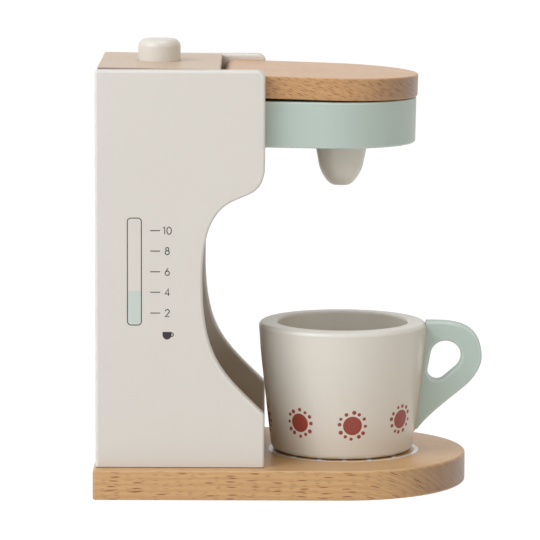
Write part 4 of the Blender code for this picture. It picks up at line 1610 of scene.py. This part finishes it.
    def spot(self, angle: float, height: float, radius: float) -> Solid:
        """A round spot of ink that follows the cup's side.

        Args:
            angle: Where its middle is round the cup.
            height: Its middle's height above the foot.
            radius: Its radius.

        Returns:
            The closed thin solid.
        """
        def on_side(x: float, z: float, lift: float) -> Vector:
            """A point beside the spot's middle, lifted off the cup's side."""
            turn, reach = angle + x / self.side_radius(height), self.side_radius(height + z) + lift
            return Vector((self.place + reach * cos(turn), reach * sin(turn), SHAPE.foot + height + z))

        solid = bmesh.new()
        rims = []
        for lift in (self.ink_height, -self.ink_height):
            inner, outer = ([solid.verts.new(on_side(x, z, lift)) for x, z in circle(radius * share)]
                            for share in (0.5, 1.0))
            fanned(solid, on_side(0, 0, lift), inner)
            bridged(solid, inner, outer)
            rims.append(outer)
        bridged(solid, *rims)
        bmesh.ops.recalc_face_normals(solid, faces=solid.faces)
        return solid

    def rosette(self, number: int, angle: float, height: float) -> Solid:
        """A disc in a ring of dots, each a little off its even place.

        Args:
            number: The rosette's number, which sets how its dots lie.
            angle: Where its middle is round the cup.
            height: Its middle's height above the foot.

        Returns:
            The rosette's ink.
        """
        solids = [self.spot(angle, height, self.disc_radius)]
        for dot in range(self.dots):
            drift = self.dot_drift * sin(2.3 * dot + number)
            turn = 2 * pi * (dot + drift) / self.dots + 0.5 * number
            reach = self.dot_ring * (1 + self.dot_stray * sin(3.1 * dot + 2 * number))
            radius = self.dot_radius * (1 + self.dot_swell * sin(1.7 * dot + 3 * number))
            solids.append(self.spot(angle + reach * cos(turn) / self.side_radius(height),
                                    height + reach * sin(turn), radius))
        return joined(solids)


# Studio


@dataclass
class Softbox:
    """A soft lamp that faces the middle of the machine."""

    name: str
    place: Triple
    size: Flat
    watts: float
    aim: Triple = (0, 0, 0.1)

    def build(self) -> None:
        """Hang the lamp."""
        data = bpy.data.lights.new(self.name, "AREA")
        data.shape = "RECTANGLE"
        data.size, data.size_y = self.size
        data.energy = self.watts
        data.color = LAMP_COLOUR
        lamp = bpy.data.objects.new(self.name, data)
        bpy.context.scene.collection.objects.link(lamp)
        lamp.location = self.place
        lamp.rotation_euler = (Vector(self.aim) - lamp.location).to_track_quat("-Z", "Y").to_euler()


@dataclass
class Studio:
    """Camera, floor and soft light: most of it from the left, a little from the front, right and top."""

    camera_place: Vector = field(default_factory=lambda: Vector((-0.0052, -1.79789, 0.33946)))
    pitch: float = 0.13481
    yaw: float = 0.000125
    roll: float = 0.0033
    lens: float = 266.35
    clip: Flat = (0.05, 50.0)
    floor_half: float = 6.0
    floor_low: float = -0.02
    floor_top: float = -0.0001
    floor_roughness: float = 0.9
    glow: float = 1.2
    glow_share: float = 0.8
    lamps: tuple[Softbox, ...] = (
        Softbox("key_softbox", (-1.5, -1.2, 1.6), (1.2, 1.0), 24.2),
        Softbox("low_left_softbox", (-1.9, -1.3, 0.75), (1.2, 1.0), 9.4),
        Softbox("front_softbox", (-1.0, -2.0, 1.0), (1.4, 1.0), 10.3),
        Softbox("far_left_softbox", (-2.1, -0.3, 0.8), (1.0, 1.0), 4.1),
        Softbox("right_softbox", (1.7, -1.3, 0.9), (1.2, 1.0), 7.3),
        Softbox("top_softbox", (0.2, 0.0, 1.6), (0.9, 0.7), 6.6),
    )

    def build(self) -> None:
        """Build the studio."""
        self.build_camera()
        self.build_world()
        self.build_floor()
        for lamp in self.lamps:
            lamp.build()
        bpy.context.scene.view_settings.view_transform = "Standard"

    def build_camera(self) -> None:
        """Put the camera at the photograph's viewpoint."""
        data = bpy.data.cameras.new("photo_camera")
        data.lens = self.lens
        data.clip_start, data.clip_end = self.clip
        camera = bpy.data.objects.new("photo_camera", data)
        bpy.context.scene.collection.objects.link(camera)
        aim = Matrix.Rotation(self.yaw, 4, "Z") @ Matrix.Rotation(pi / 2 - self.pitch, 4, "X")
        aim = aim @ Matrix.Rotation(self.roll, 4, "Z")
        camera.matrix_world = Matrix.Translation(self.camera_place) @ aim
        bpy.context.scene.camera = camera

    def build_world(self) -> None:
        """Build a dim warm room that is white where it is seen."""
        world = bpy.data.worlds.new("soft_room")
        world.use_nodes = True
        bpy.context.scene.world = world
        sheet, nodes = NodeSheet(world.node_tree), world.node_tree.nodes
        room = nodes["Background"]
        sheet.feed(room.inputs["Color"], ROOM_COLOUR)
        white = sheet.wire("ShaderNodeBackground", 0, {"Color": WHITE})
        shaders = {0: sheet.seen_rays(), 1: room.outputs[0], 2: white}
        picked = sheet.wire("ShaderNodeMixShader", 0, shaders)
        sheet.feed(nodes["World Output"].inputs["Surface"], picked)

    def build_floor(self) -> None:
        """Build a wide pale floor that keeps a soft shadow."""
        reach = self.floor_half
        slab = oblong(-reach, reach, -reach, reach)
        floor = made("studio_floor", board(slab, self.floor_low, self.floor_top))
        material = bpy.data.materials.new("pale_floor")
        material.use_nodes = True
        sheet, nodes = NodeSheet(material.node_tree), material.node_tree.nodes
        shader = nodes["Principled BSDF"]
        sheet.feed(shader.inputs["Base Color"], FLOOR_COLOUR)
        sheet.feed(shader.inputs["Roughness"], self.floor_roughness)
        white = sheet.wire("ShaderNodeEmission", 0, {"Color": WHITE, "Strength": self.glow})
        shaders = {0: sheet.seen_rays() * self.glow_share, 1: shader.outputs[0], 2: white}
        picked = sheet.wire("ShaderNodeMixShader", 0, shaders)
        sheet.feed(nodes["Material Output"].inputs["Surface"], picked)
        floor.data.materials.append(material)


def main() -> None:
    """Build the studio and every sub-assembly."""
    logging.basicConfig(level=logging.INFO, format="%(name)s: %(message)s")
    Studio().build()
    for kind in (CarriedOver, BasePlate, SidePanels, LevelScale, TopBlock, PushButton, BrewHead, Lid, Cup):
        kind().build()
        LOG.info("%s is built", kind.__name__)


if __name__ == "__main__":
    main()
